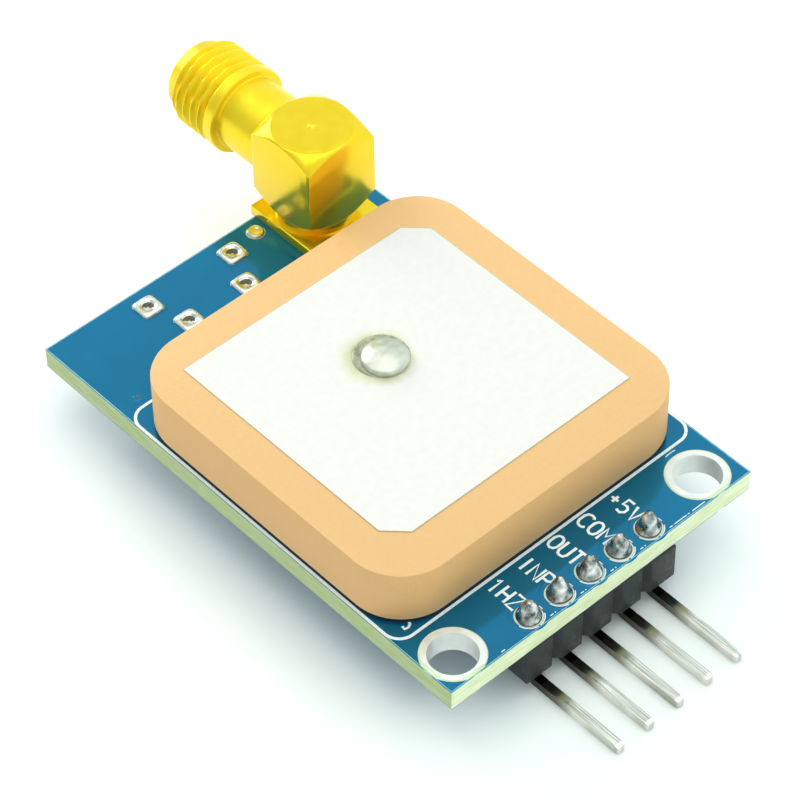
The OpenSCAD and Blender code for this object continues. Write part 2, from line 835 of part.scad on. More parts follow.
// Section across the socket of one contact's strip, on the tongue's face towards the board
module contact_strip(i) {
    x = socket_x + (i - 3) * contact_pitch;
    top = tongue_z + tongue_t / 2;
    translate([x - strip_w / 2, socket_back - strip_t, top])
        cube([strip_w, socket_l - 0.9, strip_t]);
    translate([x - strip_w / 2, socket_back - strip_t, top])
        cube([strip_w, strip_t, -top]);
    translate([x - strip_w / 2, socket_back - tail_l, -strip_t])
        cube([strip_w, tail_l, strip_t]);
}

module socket_contacts() {
    color(gold)
        for (i = [1:5]) contact_strip(i);
}

// Plastic that closes the shell's rear and carries the tongue
module socket_insulator() {
    color(black_plastic)
        difference() {
            union() {
                translate([socket_x, socket_back + plug_l, 0])
                    rotate([90, 0, 0]) linear_extrude(plug_l) polygon(shell_section(sheet_t));
                translate([socket_x - tongue_w / 2, socket_back, tongue_z - tongue_t / 2])
                    cube([tongue_w, socket_l - 0.6, tongue_t]);
            }
            for (i = [1:5]) contact_strip(i);
        }
}

// Solder that fills each slot's pad on the top face, dished round the leg's end
module socket_solder() {
    rim_h = 0.2;
    dish_d = tab_pad * 0.72;
    color(solder_grey)
        for (p = tab_places())
            translate([p[0], p[1], board_t])
                difference() {
                    linear_extrude(rim_h) rounded_rect(tab_pad, tab_pad, tab_pad_r);
                    translate([0, 0, rim_h * 0.35]) cylinder(d1 = dish_d * 0.6, d2 = dish_d, h = rim_h);
                }
}

// Small board with half-round plated notches along its long edges
module receiver_board() {
    notches = 12;
    notch_pitch = receiver_w / (notches + 2);
    color("#1d5a44")
        translate([board_x, receiver_y, -receiver_t])
            difference() {
                translate([-receiver_w / 2, -receiver_l / 2, 0]) cube([receiver_w, receiver_l, receiver_t]);
                for (s = [-1, 1], i = [1:notches])
                    translate([(i - (notches + 1) / 2) * notch_pitch, s * receiver_l / 2, -eps])
                        cylinder(d = notch_pitch * 0.45, h = receiver_t + 2 * eps);
            }
}

module receiver_shield() {
    shield_r = 0.6;
    color("#c4c8c8")
        translate([board_x, receiver_y, -receiver_t - shield_h])
            linear_extrude(shield_h)
                rounded_rect(receiver_w - 2 * shield_inset, receiver_l - 2 * shield_inset, shield_r);
}

// Moulded body of a leaded chip, hung under the board
module chip_body(size) {
    translate([-size[0] / 2, -size[1] / 2, -standoff - size[2]]) cube(size);
}

// One gull-wing lead that leaves a body's side at the origin's height and ends flat on the board
module gull_lead(body_half, span_half, exit_z, w) {
    foot = (span_half - body_half) * 0.6;
    rise_x = span_half - foot;
    translate([body_half, -w / 2, exit_z]) cube([rise_x - body_half + lead_t, w, lead_t]);
    translate([rise_x, -w / 2, exit_z]) cube([lead_t, w, -exit_z]);
    translate([rise_x, -w / 2, -lead_t]) cube([foot, w, lead_t]);
}

module memory_chip() {
    color(black_plastic) translate([memory_x, free_y, 0]) chip_body(memory_size);
}

module memory_leads() {
    color(tin_silver)
        translate([memory_x, free_y, 0])
            for (s = [0, 180], i = [-1.5:1.5])
                rotate(s)
                    translate([0, i * memory_pitch, 0])
                        gull_lead(memory_size[0] / 2, memory_span / 2, -standoff - memory_size[2] / 2, 0.42);
}

module regulator() {
    color(black_plastic) translate([regulator_x, free_y, 0]) chip_body(regulator_size);
}

// Three leads on one side and two on the other
module regulator_leads() {
    color(tin_silver)
        translate([regulator_x, free_y, 0]) {
            for (i = [-1:1]) rotate(-90) translate([0, i * regulator_pitch, 0]) regulator_lead();
            for (i = [-1, 1]) rotate(90) translate([0, i * regulator_pitch, 0]) regulator_lead();
        }
}

module regulator_lead() {
    gull_lead(regulator_size[1] / 2, regulator_span / 2, -standoff - regulator_size[2] / 2, 0.4);
}

// Coin cell with its smaller cap towards the tabs
module backup_cell() {
    cap_h = cell_h * 0.25;
    cap_r = cell_d * 0.42;
    color("#b9bcbd")
        translate([cell_x, free_y, -tab_t - cell_h])
            rotate_extrude()
                polygon([
                    [0, 0], [cell_d / 2, 0], [cell_d / 2, cell_h - cap_h], [cap_r, cell_h - cap_h],
                    [cap_r, cell_h], [0, cell_h]
                ]);
}

// One tab under the cell, and one that folds from its outer face down to the board
module backup_cell_tabs() {
    reach = cell_d / 2 + tab_out;
    outer = -2 * tab_t - cell_h;
    wall_y = cell_d / 2 + tab_fold_gap;
    color(tin_silver)
        translate([cell_x - tab_w / 2, free_y, 0]) {
            translate([0, -reach, -tab_t]) cube([tab_w, reach + cell_d * 0.3, tab_t]);
            translate([0, -cell_d * 0.3, outer]) cube([tab_w, wall_y + cell_d * 0.3 + tab_t, tab_t]);
            translate([0, wall_y, outer]) cube([tab_w, tab_t, -outer]);
            translate([0, wall_y, -tab_t]) cube([tab_w, reach - wall_y, tab_t]);
        }
}

// Middle of a small chip part between its two end caps
module chip_middle(size) {
    translate([terminal_l - size[0] / 2, -size[1] / 2, -size[2]]) cube([size[0] - 2 * terminal_l, size[1], size[2]]);
}

module chip_ends(size) {
    for (x = [-size[0] / 2, size[0] / 2 - terminal_l])
        translate([x, -size[1] / 2, -size[2]]) cube([terminal_l, size[1], size[2]]);
}

module status_led() {
    color("#dfe8d6")
        translate(led_at) {
            chip_middle(led_size);
            translate([0, 0, -led_size[2] - led_lens_h]) cylinder(d = led_size[1] * 0.8, h = led_lens_h + eps / 4);
        }
}

module resistors() {
    color("#26282a")
        for (p = resistor_at) translate(p) chip_middle(resistor_size);
}

module capacitors() {
    color("#b08d62")
        for (p = capacitor_at) translate(p) chip_middle(capacitor_size);
}

module chip_terminals() {
    color(tin_silver) {
        for (p = resistor_at) translate(p) chip_ends(resistor_size);
        for (p = capacitor_at) translate(p) chip_ends(capacitor_size);
        translate(led_at) chip_ends(led_size);
    }
}

board();
solder_mask_top();
solder_mask_bottom();
hole_plating();
header_pads();
socket_pads();
coax_pads();
feed_pad();
ground_via();
via_solder();
silkscreen_outline();
adhesive_pad();
ground_electrode();
ceramic_body();
antenna_electrode();
feed_pin();
feed_solder();
header_housing();
bent_pin(1);  // header_pin_1
bent_pin(2);  // header_pin_2
bent_pin(3);  // header_pin_3
bent_pin(4);  // header_pin_4
bent_pin(5);  // header_pin_5
header_solder();
coax_body();
coax_barrel();
coax_bush();
coax_insulator();
coax_contact();
coax_cap();
coax_solder();
socket_shell();
socket_insulator();
socket_contacts();
socket_solder();
receiver_board();
receiver_shield();
memory_chip();
memory_leads();
regulator();
regulator_leads();
backup_cell();
backup_cell_tabs();
status_led();
resistors();
capacitors();
chip_terminals();
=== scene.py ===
import json
import math

import bpy
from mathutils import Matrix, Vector


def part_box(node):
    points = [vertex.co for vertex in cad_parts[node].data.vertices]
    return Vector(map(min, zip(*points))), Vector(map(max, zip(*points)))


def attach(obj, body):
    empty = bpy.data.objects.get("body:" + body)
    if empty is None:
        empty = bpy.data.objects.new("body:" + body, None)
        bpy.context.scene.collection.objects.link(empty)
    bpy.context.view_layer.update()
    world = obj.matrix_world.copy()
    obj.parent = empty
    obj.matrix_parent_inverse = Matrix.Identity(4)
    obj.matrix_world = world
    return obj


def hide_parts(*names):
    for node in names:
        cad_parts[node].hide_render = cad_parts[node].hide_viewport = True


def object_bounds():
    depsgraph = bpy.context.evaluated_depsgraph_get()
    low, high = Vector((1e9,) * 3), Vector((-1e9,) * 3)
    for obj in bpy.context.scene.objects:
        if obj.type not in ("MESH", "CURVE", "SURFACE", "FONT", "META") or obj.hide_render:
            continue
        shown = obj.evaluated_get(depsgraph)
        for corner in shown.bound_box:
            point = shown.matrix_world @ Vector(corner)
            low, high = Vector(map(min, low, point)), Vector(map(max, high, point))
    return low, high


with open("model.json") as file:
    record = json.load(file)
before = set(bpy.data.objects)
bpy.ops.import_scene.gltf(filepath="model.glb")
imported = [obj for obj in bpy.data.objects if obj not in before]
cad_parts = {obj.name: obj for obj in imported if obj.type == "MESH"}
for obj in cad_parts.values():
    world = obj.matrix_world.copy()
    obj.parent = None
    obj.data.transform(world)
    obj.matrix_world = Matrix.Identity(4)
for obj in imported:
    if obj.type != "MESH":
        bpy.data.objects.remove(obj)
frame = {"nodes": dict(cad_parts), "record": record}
cad_box = [list(corner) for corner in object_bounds()]
nodes = frame["nodes"]

# Sizes and places, in millimetres, as the solids have them
MM = 0.001
BOARD_TOP = 1.6
BOARD_LEFT_X = -12.45
BOARD_RIGHT_X = 12.95
FRONT_EDGE_Y = -2.08
REAR_EDGE_Y = 36.02
HOLE_X = 10.38
PIN_PITCH = 2.54
PIN_ROW_Y = -0.98
PIN_COUNT = 5
PIN_WIDTH = 0.64
JACK_X = 8.35
JACK_Y = 33.32
JACK_AXIS_Z = 6.5
JACK_LEG_R = 0.45
JACK_LEG_OUT = 1.95
JACK_CONTACT_R = 0.635
FEED_X = 0.5
FEED_Y = 17.89


def places(node):
    """A solid's lowest and highest corner, in millimetres."""
    low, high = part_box(node)
    return Vector(low) / MM, Vector(high) / MM


def pin_x(i):
    """Place of a header pin along X, counted from 1 at the left."""
    return PIN_PITCH * (i - (PIN_COUNT + 1) / 2)


# Modelling steps

def clear_selection():
    """Leaves edit mode with nothing selected."""
    if bpy.context.mode != "OBJECT":
        bpy.ops.object.mode_set(mode="OBJECT")
    bpy.ops.object.select_all(action="DESELECT")


def take(piece):
    """Makes one piece the only one that is selected."""
    clear_selection()
    piece.select_set(True)
    bpy.context.view_layer.objects.active = piece
    return piece


def named(name):
    """Names the active piece and puts its place into its mesh."""
    piece = bpy.context.object
    piece.name = name
    piece.data.name = name
    bpy.ops.object.transform_apply(location=True, rotation=True, scale=True)
    return piece


def block(name, low, high):
    """A box from its lowest to its highest corner, ready to be shaped."""
    clear_selection()
    low, high = Vector(low), Vector(high)
    bpy.ops.mesh.primitive_cube_add(size=1, location=(low + high) / 2 * MM, scale=(high - low) * MM)
    return named(name)


def rod(name, sides, radius, height, middle, turn=0.0):
    """A prism or cylinder that stands on Z, ready to be shaped."""
    clear_selection()
    bpy.ops.mesh.primitive_cylinder_add(
        vertices=sides, radius=radius * MM, depth=height * MM, location=Vector(middle) * MM, rotation=(0, 0, turn))
    return named(name)


def trace(name, points):
    """A point that is extruded from place to place, and left selected in edit mode."""
    clear_selection()
    bpy.ops.mesh.primitive_plane_add(size=MM)
    piece = named(name)
    bpy.ops.object.mode_set(mode="EDIT")
    bpy.ops.mesh.select_mode(type="VERT")
    bpy.ops.mesh.select_all(action="SELECT")
    bpy.ops.mesh.merge(type="CENTER")
    bpy.ops.transform.translate(value=points[0])
    for a, b in zip(points, points[1:]):
        bpy.ops.mesh.extrude_vertices_move(TRANSFORM_OT_translate={"value": b - a})
    bpy.ops.mesh.select_all(action="SELECT")
    return piece


def close_up():
    """Merges doubled points, turns the faces outwards and leaves edit mode."""
    bpy.ops.object.mode_set(mode="EDIT")
    bpy.ops.mesh.select_all(action="SELECT")
    bpy.ops.mesh.remove_doubles(threshold=1e-7)
    bpy.ops.mesh.normals_make_consistent(inside=False)
    bpy.ops.object.mode_set(mode="OBJECT")


def turned(name, profile, foot, along="Z", steps=72):
    """A profile of (radius, height) steps, spun about the axis through its foot."""
    axis = Vector((0, 0, 1)) if along == "Z" else Vector((0, 1, 0))
    foot = Vector(foot)
    piece = trace(name, [(foot + Vector((r, 0, 0)) + axis * h) * MM for r, h in profile])
    bpy.ops.mesh.spin(steps=steps, angle=2 * math.pi, center=foot * MM, axis=axis)
    close_up()
    return piece


def choose(kind, test):
    """In edit mode, selects only the faces or edges that pass the test."""
    piece = bpy.context.object
    bpy.ops.object.mode_set(mode="EDIT")
    bpy.ops.mesh.select_mode(type=kind)
    bpy.ops.mesh.select_all(action="DESELECT")
    bpy.ops.object.mode_set(mode="OBJECT")
    mesh = piece.data
    if kind == "FACE":
        for face in mesh.polygons:
            face.select = test(face.center / MM, face.normal)
    else:
        for edge in mesh.edges:
            a, b = (mesh.vertices[i].co / MM for i in edge.vertices)
            edge.select = test(a, b)
    bpy.ops.object.mode_set(mode="EDIT")


def upright(a, b):
    """Whether an edge between two points stands on Z."""
    return abs(a.z - b.z) > 1e-3 and (a.xy - b.xy).length < 1e-4


def round_uprights(radius, segments):
    """Rounds the upright edges of the box that was made last."""
    choose("EDGE", upright)
    bpy.ops.mesh.bevel(offset=radius * MM, segments=segments, affect="EDGES")
    bpy.ops.object.mode_set(mode="OBJECT")


def apply(piece, kind, **settings):
    """Adds a modifier, sets it and applies it."""
    take(piece)
    modifier = piece.modifiers.new(kind.lower(), kind)
    for key, value in settings.items():
        setattr(modifier, key, value)
    bpy.ops.object.modifier_apply(modifier=modifier.name)
    return piece


def soften(piece, width, segments=2, angle=30):
    """Rounds the sharp edges of a piece."""
    return apply(piece, "BEVEL", width=width * MM, segments=segments, limit_method="ANGLE",
                 angle_limit=math.radians(angle), use_clamp_overlap=True)


def cut(piece, tool, operation="DIFFERENCE"):
    """Cuts a piece with a tool, which is used up."""
    apply(piece, "BOOLEAN", operation=operation, object=tool, solver="EXACT")
    bpy.data.objects.remove(tool, do_unlink=True)
    close_up()
    return piece


def join(name, pieces):
    """Makes several pieces one."""
    clear_selection()
    for piece in pieces:
        piece.select_set(True)
    bpy.context.view_layer.objects.active = pieces[0]
    bpy.ops.object.join()
    return named(name)


def copy_to(piece, name, offset):
    """A copy with its own mesh, moved by an offset."""
    take(piece)
    bpy.ops.object.duplicate(linked=False)
    twin = bpy.context.object
    twin.location = Vector(offset) * MM
    return named(name)


def copy_solid(name, node):
    """A merged copy of a solid's mesh, with its flat faces made whole, ready to be shaped."""
    piece = bpy.data.objects.new(name, nodes[node].data.copy())
    bpy.context.scene.collection.objects.link(piece)
    take(piece)
    close_up()
    bpy.ops.object.mode_set(mode="EDIT")
    bpy.ops.mesh.select_all(action="SELECT")
    bpy.ops.mesh.dissolve_limited(angle_limit=math.radians(1))
    bpy.ops.object.mode_set(mode="OBJECT")
    return named(name)


def dome(radius, height, base=0.0, steps=8):
    """Profile of a low dome, from its rim to its top."""
    ball = (radius * radius + height * height) / (2 * height)
    reach = math.asin(min(1.0, radius / ball))
    angles = [reach * (1 - k / steps) for k in range(steps + 1)]
    return [(ball * math.sin(a), base + height - ball + ball * math.cos(a)) for a in angles]


def arc(middle, radius, start, end, steps=14):
    """Points along part of a circle, between two angles in degrees."""
    angles = [math.radians(start + (end - start) * k / steps) for k in range(steps + 1)]
    return [(middle[0] + radius * math.cos(a), middle[1] + radius * math.sin(a)) for a in angles]


def stroke(name, paths, width, z, height):
    """Ribbons of one width along paths of (x, y) points, drawn as round wires and pressed flat."""
    line = bpy.data.curves.new(name, "CURVE")
    line.dimensions = "3D"
    line.bevel_depth = width / 2 * MM
    line.bevel_resolution = 2
    line.use_fill_caps = True
    for path in paths:
        closed = path[0] == path[-1]
        points = path[:-1] if closed else path
        spline = line.splines.new("POLY")
        spline.points.add(len(points) - 1)
        spline.use_cyclic_u = closed
        for point, (x, y) in zip(spline.points, points):
            point.co = (x * MM, y * MM, z * MM, 1)
    piece = bpy.data.objects.new(name, line)
    bpy.context.scene.collection.objects.link(piece)
    take(piece)
    bpy.ops.object.convert(target="MESH")
    piece = named(name)
    bpy.ops.object.mode_set(mode="EDIT")
    bpy.ops.mesh.select_all(action="SELECT")
    bpy.ops.transform.resize(value=(1, 1, 2 * height / width), center_override=(0, 0, z * MM))
    close_up()
    return piece


def dress(piece, finish, slot, *stands_for, smooth=32):
    """Smooths a finished piece, gives it its finish and sets it on the body."""
    take(piece)
    bpy.ops.object.shade_smooth_by_angle(angle=math.radians(smooth))
    piece.data.materials.clear()
    piece.data.materials.append(finish)
    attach(piece, "root")
    if stands_for:
        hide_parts(*stands_for)
    return piece


# Finishes

def linear(code):
    """An sRGB hex colour as linear RGBA."""
    parts = [int(code[i:i + 2], 16) / 255 for i in (1, 3, 5)]
    return [c / 12.92 if c <= 0.04045 else ((c + 0.055) / 1.055) ** 2.4 for c in parts] + [1.0]


def put(tree, socket, value):
    """Sets a socket to a value or a hex colour, or links it to another socket."""
    if isinstance(value, bpy.types.NodeSocket):
        tree.links.new(value, socket)
    else:
        socket.default_value = linear(value) if isinstance(value, str) else value


def add(tree, kind, inputs, stops=(), **settings):
    """Adds a node with its settings, its inputs and, on a colour band, its stops of (place, hex colour)."""
    node = tree.nodes.new(kind)
    for key, value in settings.items():
        setattr(node, key, value)
    for key, value in inputs.items():
        put(tree, node.inputs[key], value)
    for k, (place, code) in enumerate(stops):
        if k > 1:
            node.color_ramp.elements.new(place)
        node.color_ramp.elements[k].position = place
        node.color_ramp.elements[k].color = linear(code)
    return node


# Part of the grain's noise, which hardly leaves its middle, that the tones are spread over
SPECK_LOW = 0.3
SPECK_SPAN = 0.4


def finish(name, grain, tones, rough, relief, stretch=(1, 1, 1), **sockets):
    """A material whose grain, of a real size in millimetres, gives its tones, its roughness and its relief."""
    material = bpy.data.materials.new(name)
    material.use_nodes = True
    tree = material.node_tree
    shader = tree.nodes["Principled BSDF"]
    where = add(tree, "ShaderNodeTexCoord", {}).outputs["Object"]
    drawn = add(tree, "ShaderNodeMapping", {"Vector": where, "Scale": [1 / s for s in stretch]})
    speck = add(tree, "ShaderNodeTexNoise", {
        "Vector": drawn.outputs["Vector"], "Scale": 1 / (grain * MM), "Detail": 3.0}).outputs["Fac"]
    tone = add(tree, "ShaderNodeValToRGB", {"Fac": speck}, [
        (SPECK_LOW + SPECK_SPAN * k / (len(tones) - 1), code) for k, code in enumerate(tones)])
    polish = add(tree, "ShaderNodeMapRange", {
        "Value": speck, "From Min": SPECK_LOW, "From Max": SPECK_LOW + SPECK_SPAN,
        "To Min": rough[0], "To Max": rough[1]})
    bump = add(tree, "ShaderNodeBump", {"Height": speck, "Distance": relief * MM, "Strength": 0.6})
    put(tree, shader.inputs["Base Color"], tone.outputs["Color"])
    put(tree, shader.inputs["Roughness"], polish.outputs["Result"])
    put(tree, shader.inputs["Normal"], bump.outputs["Normal"])
    for key, value in sockets.items():
        shader.inputs[key.replace("_", " ").replace("Ior", "IOR")].default_value = value
    return material


def multiply(material, tint):
    """Multiplies a finish's tones by a colour socket of its own tree."""
    tree = material.node_tree
    colour = tree.nodes["Principled BSDF"].inputs["Base Color"]
    plain = colour.links[0].from_socket
    mixed = add(tree, "ShaderNodeMix", {"Factor": 1.0, 6: plain, 7: tint}, data_type="RGBA", blend_type="MULTIPLY")
    put(tree, colour, mixed.outputs[2])


def tone_by_side(material, axis, stops):
    """Multiplies a finish's tones by a band that follows how far the surface faces along an axis."""
    tree = material.node_tree
    normal = add(tree, "ShaderNodeTexCoord", {}).outputs["Normal"]
    along = add(tree, "ShaderNodeSeparateXYZ", {"Vector": normal}).outputs[axis]
    share = add(tree, "ShaderNodeMath", {0: along}, operation="ABSOLUTE").outputs["Value"]
    multiply(material, add(tree, "ShaderNodeValToRGB", {"Fac": share}, stops).outputs["Color"])


# Epoxy solder mask, printed and cured over a copper pour: a clear blue lacquer that the copper shines through,
# so it mirrors what stands on the board in blue, under a thin gloss of its own
mask_blue = finish("epoxy solder mask, blue, on copper", 6.0, ("#006B96", "#0173A0"), (0.1, 0.16), 0.003,
                   Metallic=0.5, Specular_Ior_Level=0.2, Coat_Weight=0.3, Coat_Roughness=0.06)
# The lacquer's torn lip along the sawn edges: a real thin lip, coloured pale turquoise as a painted highlight where
# the edges catch the light
lip_highlight = finish("epoxy solder mask, torn lip", 0.5, ("#5FB6CC", "#A9DCE4"), (0.3, 0.5), 0.004)
# Glass-cloth epoxy laminate, sawn and broken out: pale green, with the cloth's layers as streaks on its edges
laminate = finish("glass epoxy laminate, sawn", 0.16, ("#D3DFAE", "#E4EBC2", "#F3F6DA"), (0.5, 0.7), 0.02,
                  stretch=(9, 9, 1))
# Its long sides, which face along X, are made darker than its ends
tone_by_side(laminate, "X", [(0.3, "#FFFFFF"), (0.75, "#C6CFB6")])
# Tin levelled by hot air: bright, with a slight waviness
tin = finish("hot-air levelled tin", 0.7, ("#E2E4E2", "#F1F2F0"), (0.3, 0.45), 0.008, Metallic=0.5)
# Tin-silver solder, melted by hand: bright and a little lumpy, with a dull skin in places
solder = finish("tin solder, hand joined", 0.4, ("#CFD1CE", "#EDEDEA"), (0.12, 0.26), 0.02, Metallic=1.0)
# A dark olive skin, as rosin left by the solder's flux; also used as painted shade round the header joints' feet and
# in the socket joints' hollows, and for the dark middle of the small tented hole
rosin_and_shade = finish("rosin residue and painted shade, dark", 0.2, ("#3A3724", "#5C5740"), (0.25, 0.4), 0.01)
# Screen-printed epoxy ink: matte white, a little thin in places
ink = finish("screen-printed white ink", 0.25, ("#E9F0F4", "#FBFDFE"), (0.5, 0.7), 0.004)
# Acrylic foam tape, die-cut: dull black with open pores on its edge
tape = finish("acrylic foam tape, black", 0.1, ("#0C0D0D", "#1E2021"), (0.75, 0.9), 0.02)
# Magnesium titanate ceramic, pressed and sintered: a warm matte peach, with its very fine grain drawn coarser
# than it is, so that it shows
ceramic = finish("titanate ceramic, sintered", 0.3, ("#E4B47A", "#E8B87E"), (0.5, 0.65), 0.006)
# Its sides are painted a shade darker and warmer than its top: painted shade, as the sides get less light
tone_by_side(ceramic, "Z", [(0.3, "#F7F1E8"), (0.75, "#FFFFFF")])
# Glass-filled nylon, moulded: satin black, mottled by fibres a few tenths of a millimetre long
nylon = finish("glass-filled nylon, black", 0.3, ("#171B1B", "#202424"), (0.4, 0.6), 0.008)
# Drawn brass wire, tin plated: bright, with faint drawing lines, coarser here than they are, so that they show
pin_tin = finish("tin-plated drawn wire", 0.09, ("#B2AFA6", "#F4F1E9"), (0.08, 0.18), 0.002, stretch=(1, 40, 40),
                 Metallic=1.0)
# Painted reflection of the dark block: beside the block the plating is darkened, and it clears towards the tips
BLOCK_FRONT_Y = places("header_housing")[0].y
DARK_REFLECTION_TO_Y = BLOCK_FRONT_Y - 0.6
REFLECTION_CLEAR_FROM_Y = BLOCK_FRONT_Y - 3.0
wire = pin_tin.node_tree
wire_place = add(wire, "ShaderNodeTexCoord", {}).outputs["Object"]
along_pin = add(wire, "ShaderNodeSeparateXYZ", {"Vector": wire_place}).outputs["Y"]
reflection_fade = add(wire, "ShaderNodeMapRange", {
    "Value": along_pin, "From Min": DARK_REFLECTION_TO_Y * MM, "From Max": REFLECTION_CLEAR_FROM_Y * MM}).outputs["Result"]
multiply(pin_tin, add(wire, "ShaderNodeValToRGB", {"Fac": reflection_fade}, [
    (0.0, "#5C5954"), (0.45, "#98958E"), (1.0, "#FFFFFF")]).outputs["Color"])
# Brass, turned and gold plated: bright and strongly yellow, faintly clouded, as its tool marks are too fine to show
gold = finish("gold-plated turned brass", 1.2, ("#F6CF22", "#F9D52C"), (0.18, 0.24), 0.003, Metallic=0.8)
# The barrel's turned and rolled skin under the same plating: satin, with its tones a shade lighter as painted light
lightened_satin_gold = finish("gold-plated turned brass, satin", 1.2, ("#FAD822", "#FDDE2C"), (0.3, 0.38), 0.003, Metallic=0.75)
# PTFE, machined: waxy white
ptfe = finish("PTFE, machined", 0.4, ("#E6E4DC", "#F4F2EC"), (0.4, 0.5), 0.004, Ior=1.36)
# Tinned sheet steel, rolled and folded: satin, with faint rolling lines, coarser than they are, so that they show
sheet = finish("tinned sheet steel, rolled", 0.06, ("#B4B7B7", "#CDD0D0"), (0.24, 0.4), 0.003, stretch=(25, 1, 1),
               Metallic=1.0)
# Epoxy moulding compound: matte black, with the grit of its filler drawn coarser than it is, so that it shows
moulding = finish("epoxy moulding compound, black", 0.12, ("#161718", "#222425"), (0.55, 0.7), 0.008)
# Epoxy solder mask on the receiver's own board: green and glossy
mask_green = finish("epoxy solder mask, green", 1.0, ("#0C3A28", "#12503A"), (0.25, 0.35), 0.006)
# Casting resin of the status lamp: milky, as it scatters light inside
resin = finish("casting resin, milky", 0.5, ("#D8E2C8", "#EEF3E2"), (0.15, 0.25), 0.003, Subsurface_Weight=0.3)
# Glass glaze, printed and fired on the resistors: glossy black
glaze = finish("resistor glaze, black", 0.3, ("#141516", "#202224"), (0.2, 0.3), 0.004)
# Barium titanate, pressed and sintered into capacitors: matte brown
titanate = finish("barium titanate, sintered", 0.2, ("#8E6C44", "#A98255"), (0.45, 0.6), 0.006)

# Silver paste, screen printed and fired: an off-white matte film, stained olive round the feed by flux
silver = finish("fired silver paste", 0.5, ("#E1DCD9", "#E5E0DD"), (0.5, 0.65), 0.004)
STAIN_X = 0.4
STAIN_Y = 18.3
STAIN_FROM = 1.5
STAIN_TO = 2.6
STAIN_RAGGED = 1.3
STAIN_SHIFT = 1.0
paste = silver.node_tree
paste_place = add(paste, "ShaderNodeTexCoord", {}).outputs["Object"]
from_feed = add(paste, "ShaderNodeMapping", {
    "Vector": paste_place, "Location": (-STAIN_X * MM, -STAIN_Y * MM, 0), "Scale": (1, 1, 0)}).outputs["Vector"]
ragged = add(paste, "ShaderNodeTexNoise", {
    "Vector": paste_place, "Scale": 1 / (STAIN_RAGGED * MM), "Detail": 2.0}).outputs["Color"]
jitter = add(paste, "ShaderNodeVectorMath", {
    0: ragged, 1: (STAIN_SHIFT * MM, STAIN_SHIFT * MM, 0), 2: from_feed}, operation="MULTIPLY_ADD").outputs["Vector"]
reach = add(paste, "ShaderNodeVectorMath", {0: jitter}, operation="LENGTH").outputs["Value"]
fade = add(paste, "ShaderNodeMapRange", {
    "Value": reach, "From Min": STAIN_FROM * MM, "From Max": STAIN_TO * MM}).outputs["Result"]
stain = add(paste, "ShaderNodeValToRGB", {"Fac": fade}, [
    (0.0, "#CDD1A6"), (0.3, "#E8EBC9"), (0.65, "#F8FAE8"), (1.0, "#FFFFFF")]).outputs["Color"]
multiply(silver, stain)

SLOT_FINISH = {
    "laminate": laminate, "solder_mask": mask_blue, "tin_plating": tin, "solder": solder, "white_ink": ink,
    "adhesive_tape": tape, "fired_silver": silver, "ceramic": ceramic, "header_plastic": nylon,
    "pin_plating": pin_tin, "gold_plating": gold, "white_dielectric": ptfe, "shell_steel": sheet,
    "black_moulding": moulding, "receiver_laminate": mask_green, "led_resin": resin, "resistor_glaze": glaze,
    "capacitor_ceramic": titanate,
}
# Every solid wears its slot's finish, also where a dressed piece takes its place
NODE_SLOT = {entry["node"]: entry["material_slot"] for entry in frame["record"]["subparts"]}
for node, slot in NODE_SLOT.items():
    nodes[node].data.materials.clear()
    nodes[node].data.materials.append(SLOT_FINISH[slot])

# Antenna block: a box with its upright edges rounded and its rims eased
ANTENNA_CORNER_R = 3.8
ANTENNA_RIM = 0.1
low, high = places("ceramic_body")
antenna = block("antenna_block", low, high)
round_uprights(ANTENNA_CORNER_R, 20)
soften(antenna, ANTENNA_RIM, 2, 40)
dress(antenna, ceramic, "ceramic", "ceramic_body")

# Solder under flux: dulled to a soft, warm grey
dull_solder = finish("tin solder, dulled by flux", 0.7, ("#BDBFB2", "#DADBD0"), (0.34, 0.46), 0.012, Metallic=1.0)
# Rosin that ran out round the joint: a thin olive-grey skin
thin_rosin = finish("rosin residue, thin", 0.5, ("#80846D", "#B5B89E"), (0.2, 0.35), 0.01)
# Feed pin's head under a full dome of solder that ran a little towards the front, in a flat pool of rosin,
# and the joint under the board
DOME_X = FEED_X - 0.4
DOME_Y = FEED_Y - 0.58
POOL_X = FEED_X - 0.38
POOL_Y = FEED_Y - 0.15
POOL_HEIGHT = 0.1
head_z = places("antenna_electrode")[1].z
bulge = [(0, 0), (1.5, 0), (1.56, 0.16), (1.55, 0.28)] + dome(1.52, 0.38, 0.37, 10)
head = turned("feed_head", bulge, (DOME_X, DOME_Y, head_z), steps=56)
dress(head, dull_solder, "tin_plating", "feed_pin", smooth=60)
pool = [(0, 0), (1.86, 0), (1.83, 0.04), (1.74, 0.08), (1.6, POOL_HEIGHT), (0, POOL_HEIGHT)]
spread = turned("feed_pool", pool, (POOL_X, POOL_Y, head_z), steps=56)
cone = [(0, 0.02), (0.95, 0.02), (0.85, -0.08), (0.62, -0.32), (0.52, -0.6), (0.4, -0.78), (0, -0.8)]
under = turned("feed_joint", cone, (FEED_X, FEED_Y, 0), steps=40)
pooled = dress(join("feed_pool", [spread, under]), solder, "solder", "feed_solder")
pooled.data.materials.append(thin_rosin)
for face in pooled.data.polygons:
    if face.center.z > head_z * MM:
        face.material_index = 1

# Header block: a strip with V grooves between its cells
GROOVE_R = 0.43
GROOVE_LENGTH = 8
BLOCK_EDGE = 0.06
low, high = places("header_housing")
strip = block("header_block", low, high)
middle_z = (low.z + high.z) / 2
grooves = []
for i in range(1, PIN_COUNT):
    for y in (low.y, high.y):
        grooves.append(rod("groove", 4, GROOVE_R, GROOVE_LENGTH, (pin_x(i) + PIN_PITCH / 2, y, middle_z)))
cut(strip, join("grooves", grooves))
soften(strip, BLOCK_EDGE, 2, 25)
dress(strip, nylon, "header_plastic", "header_housing")

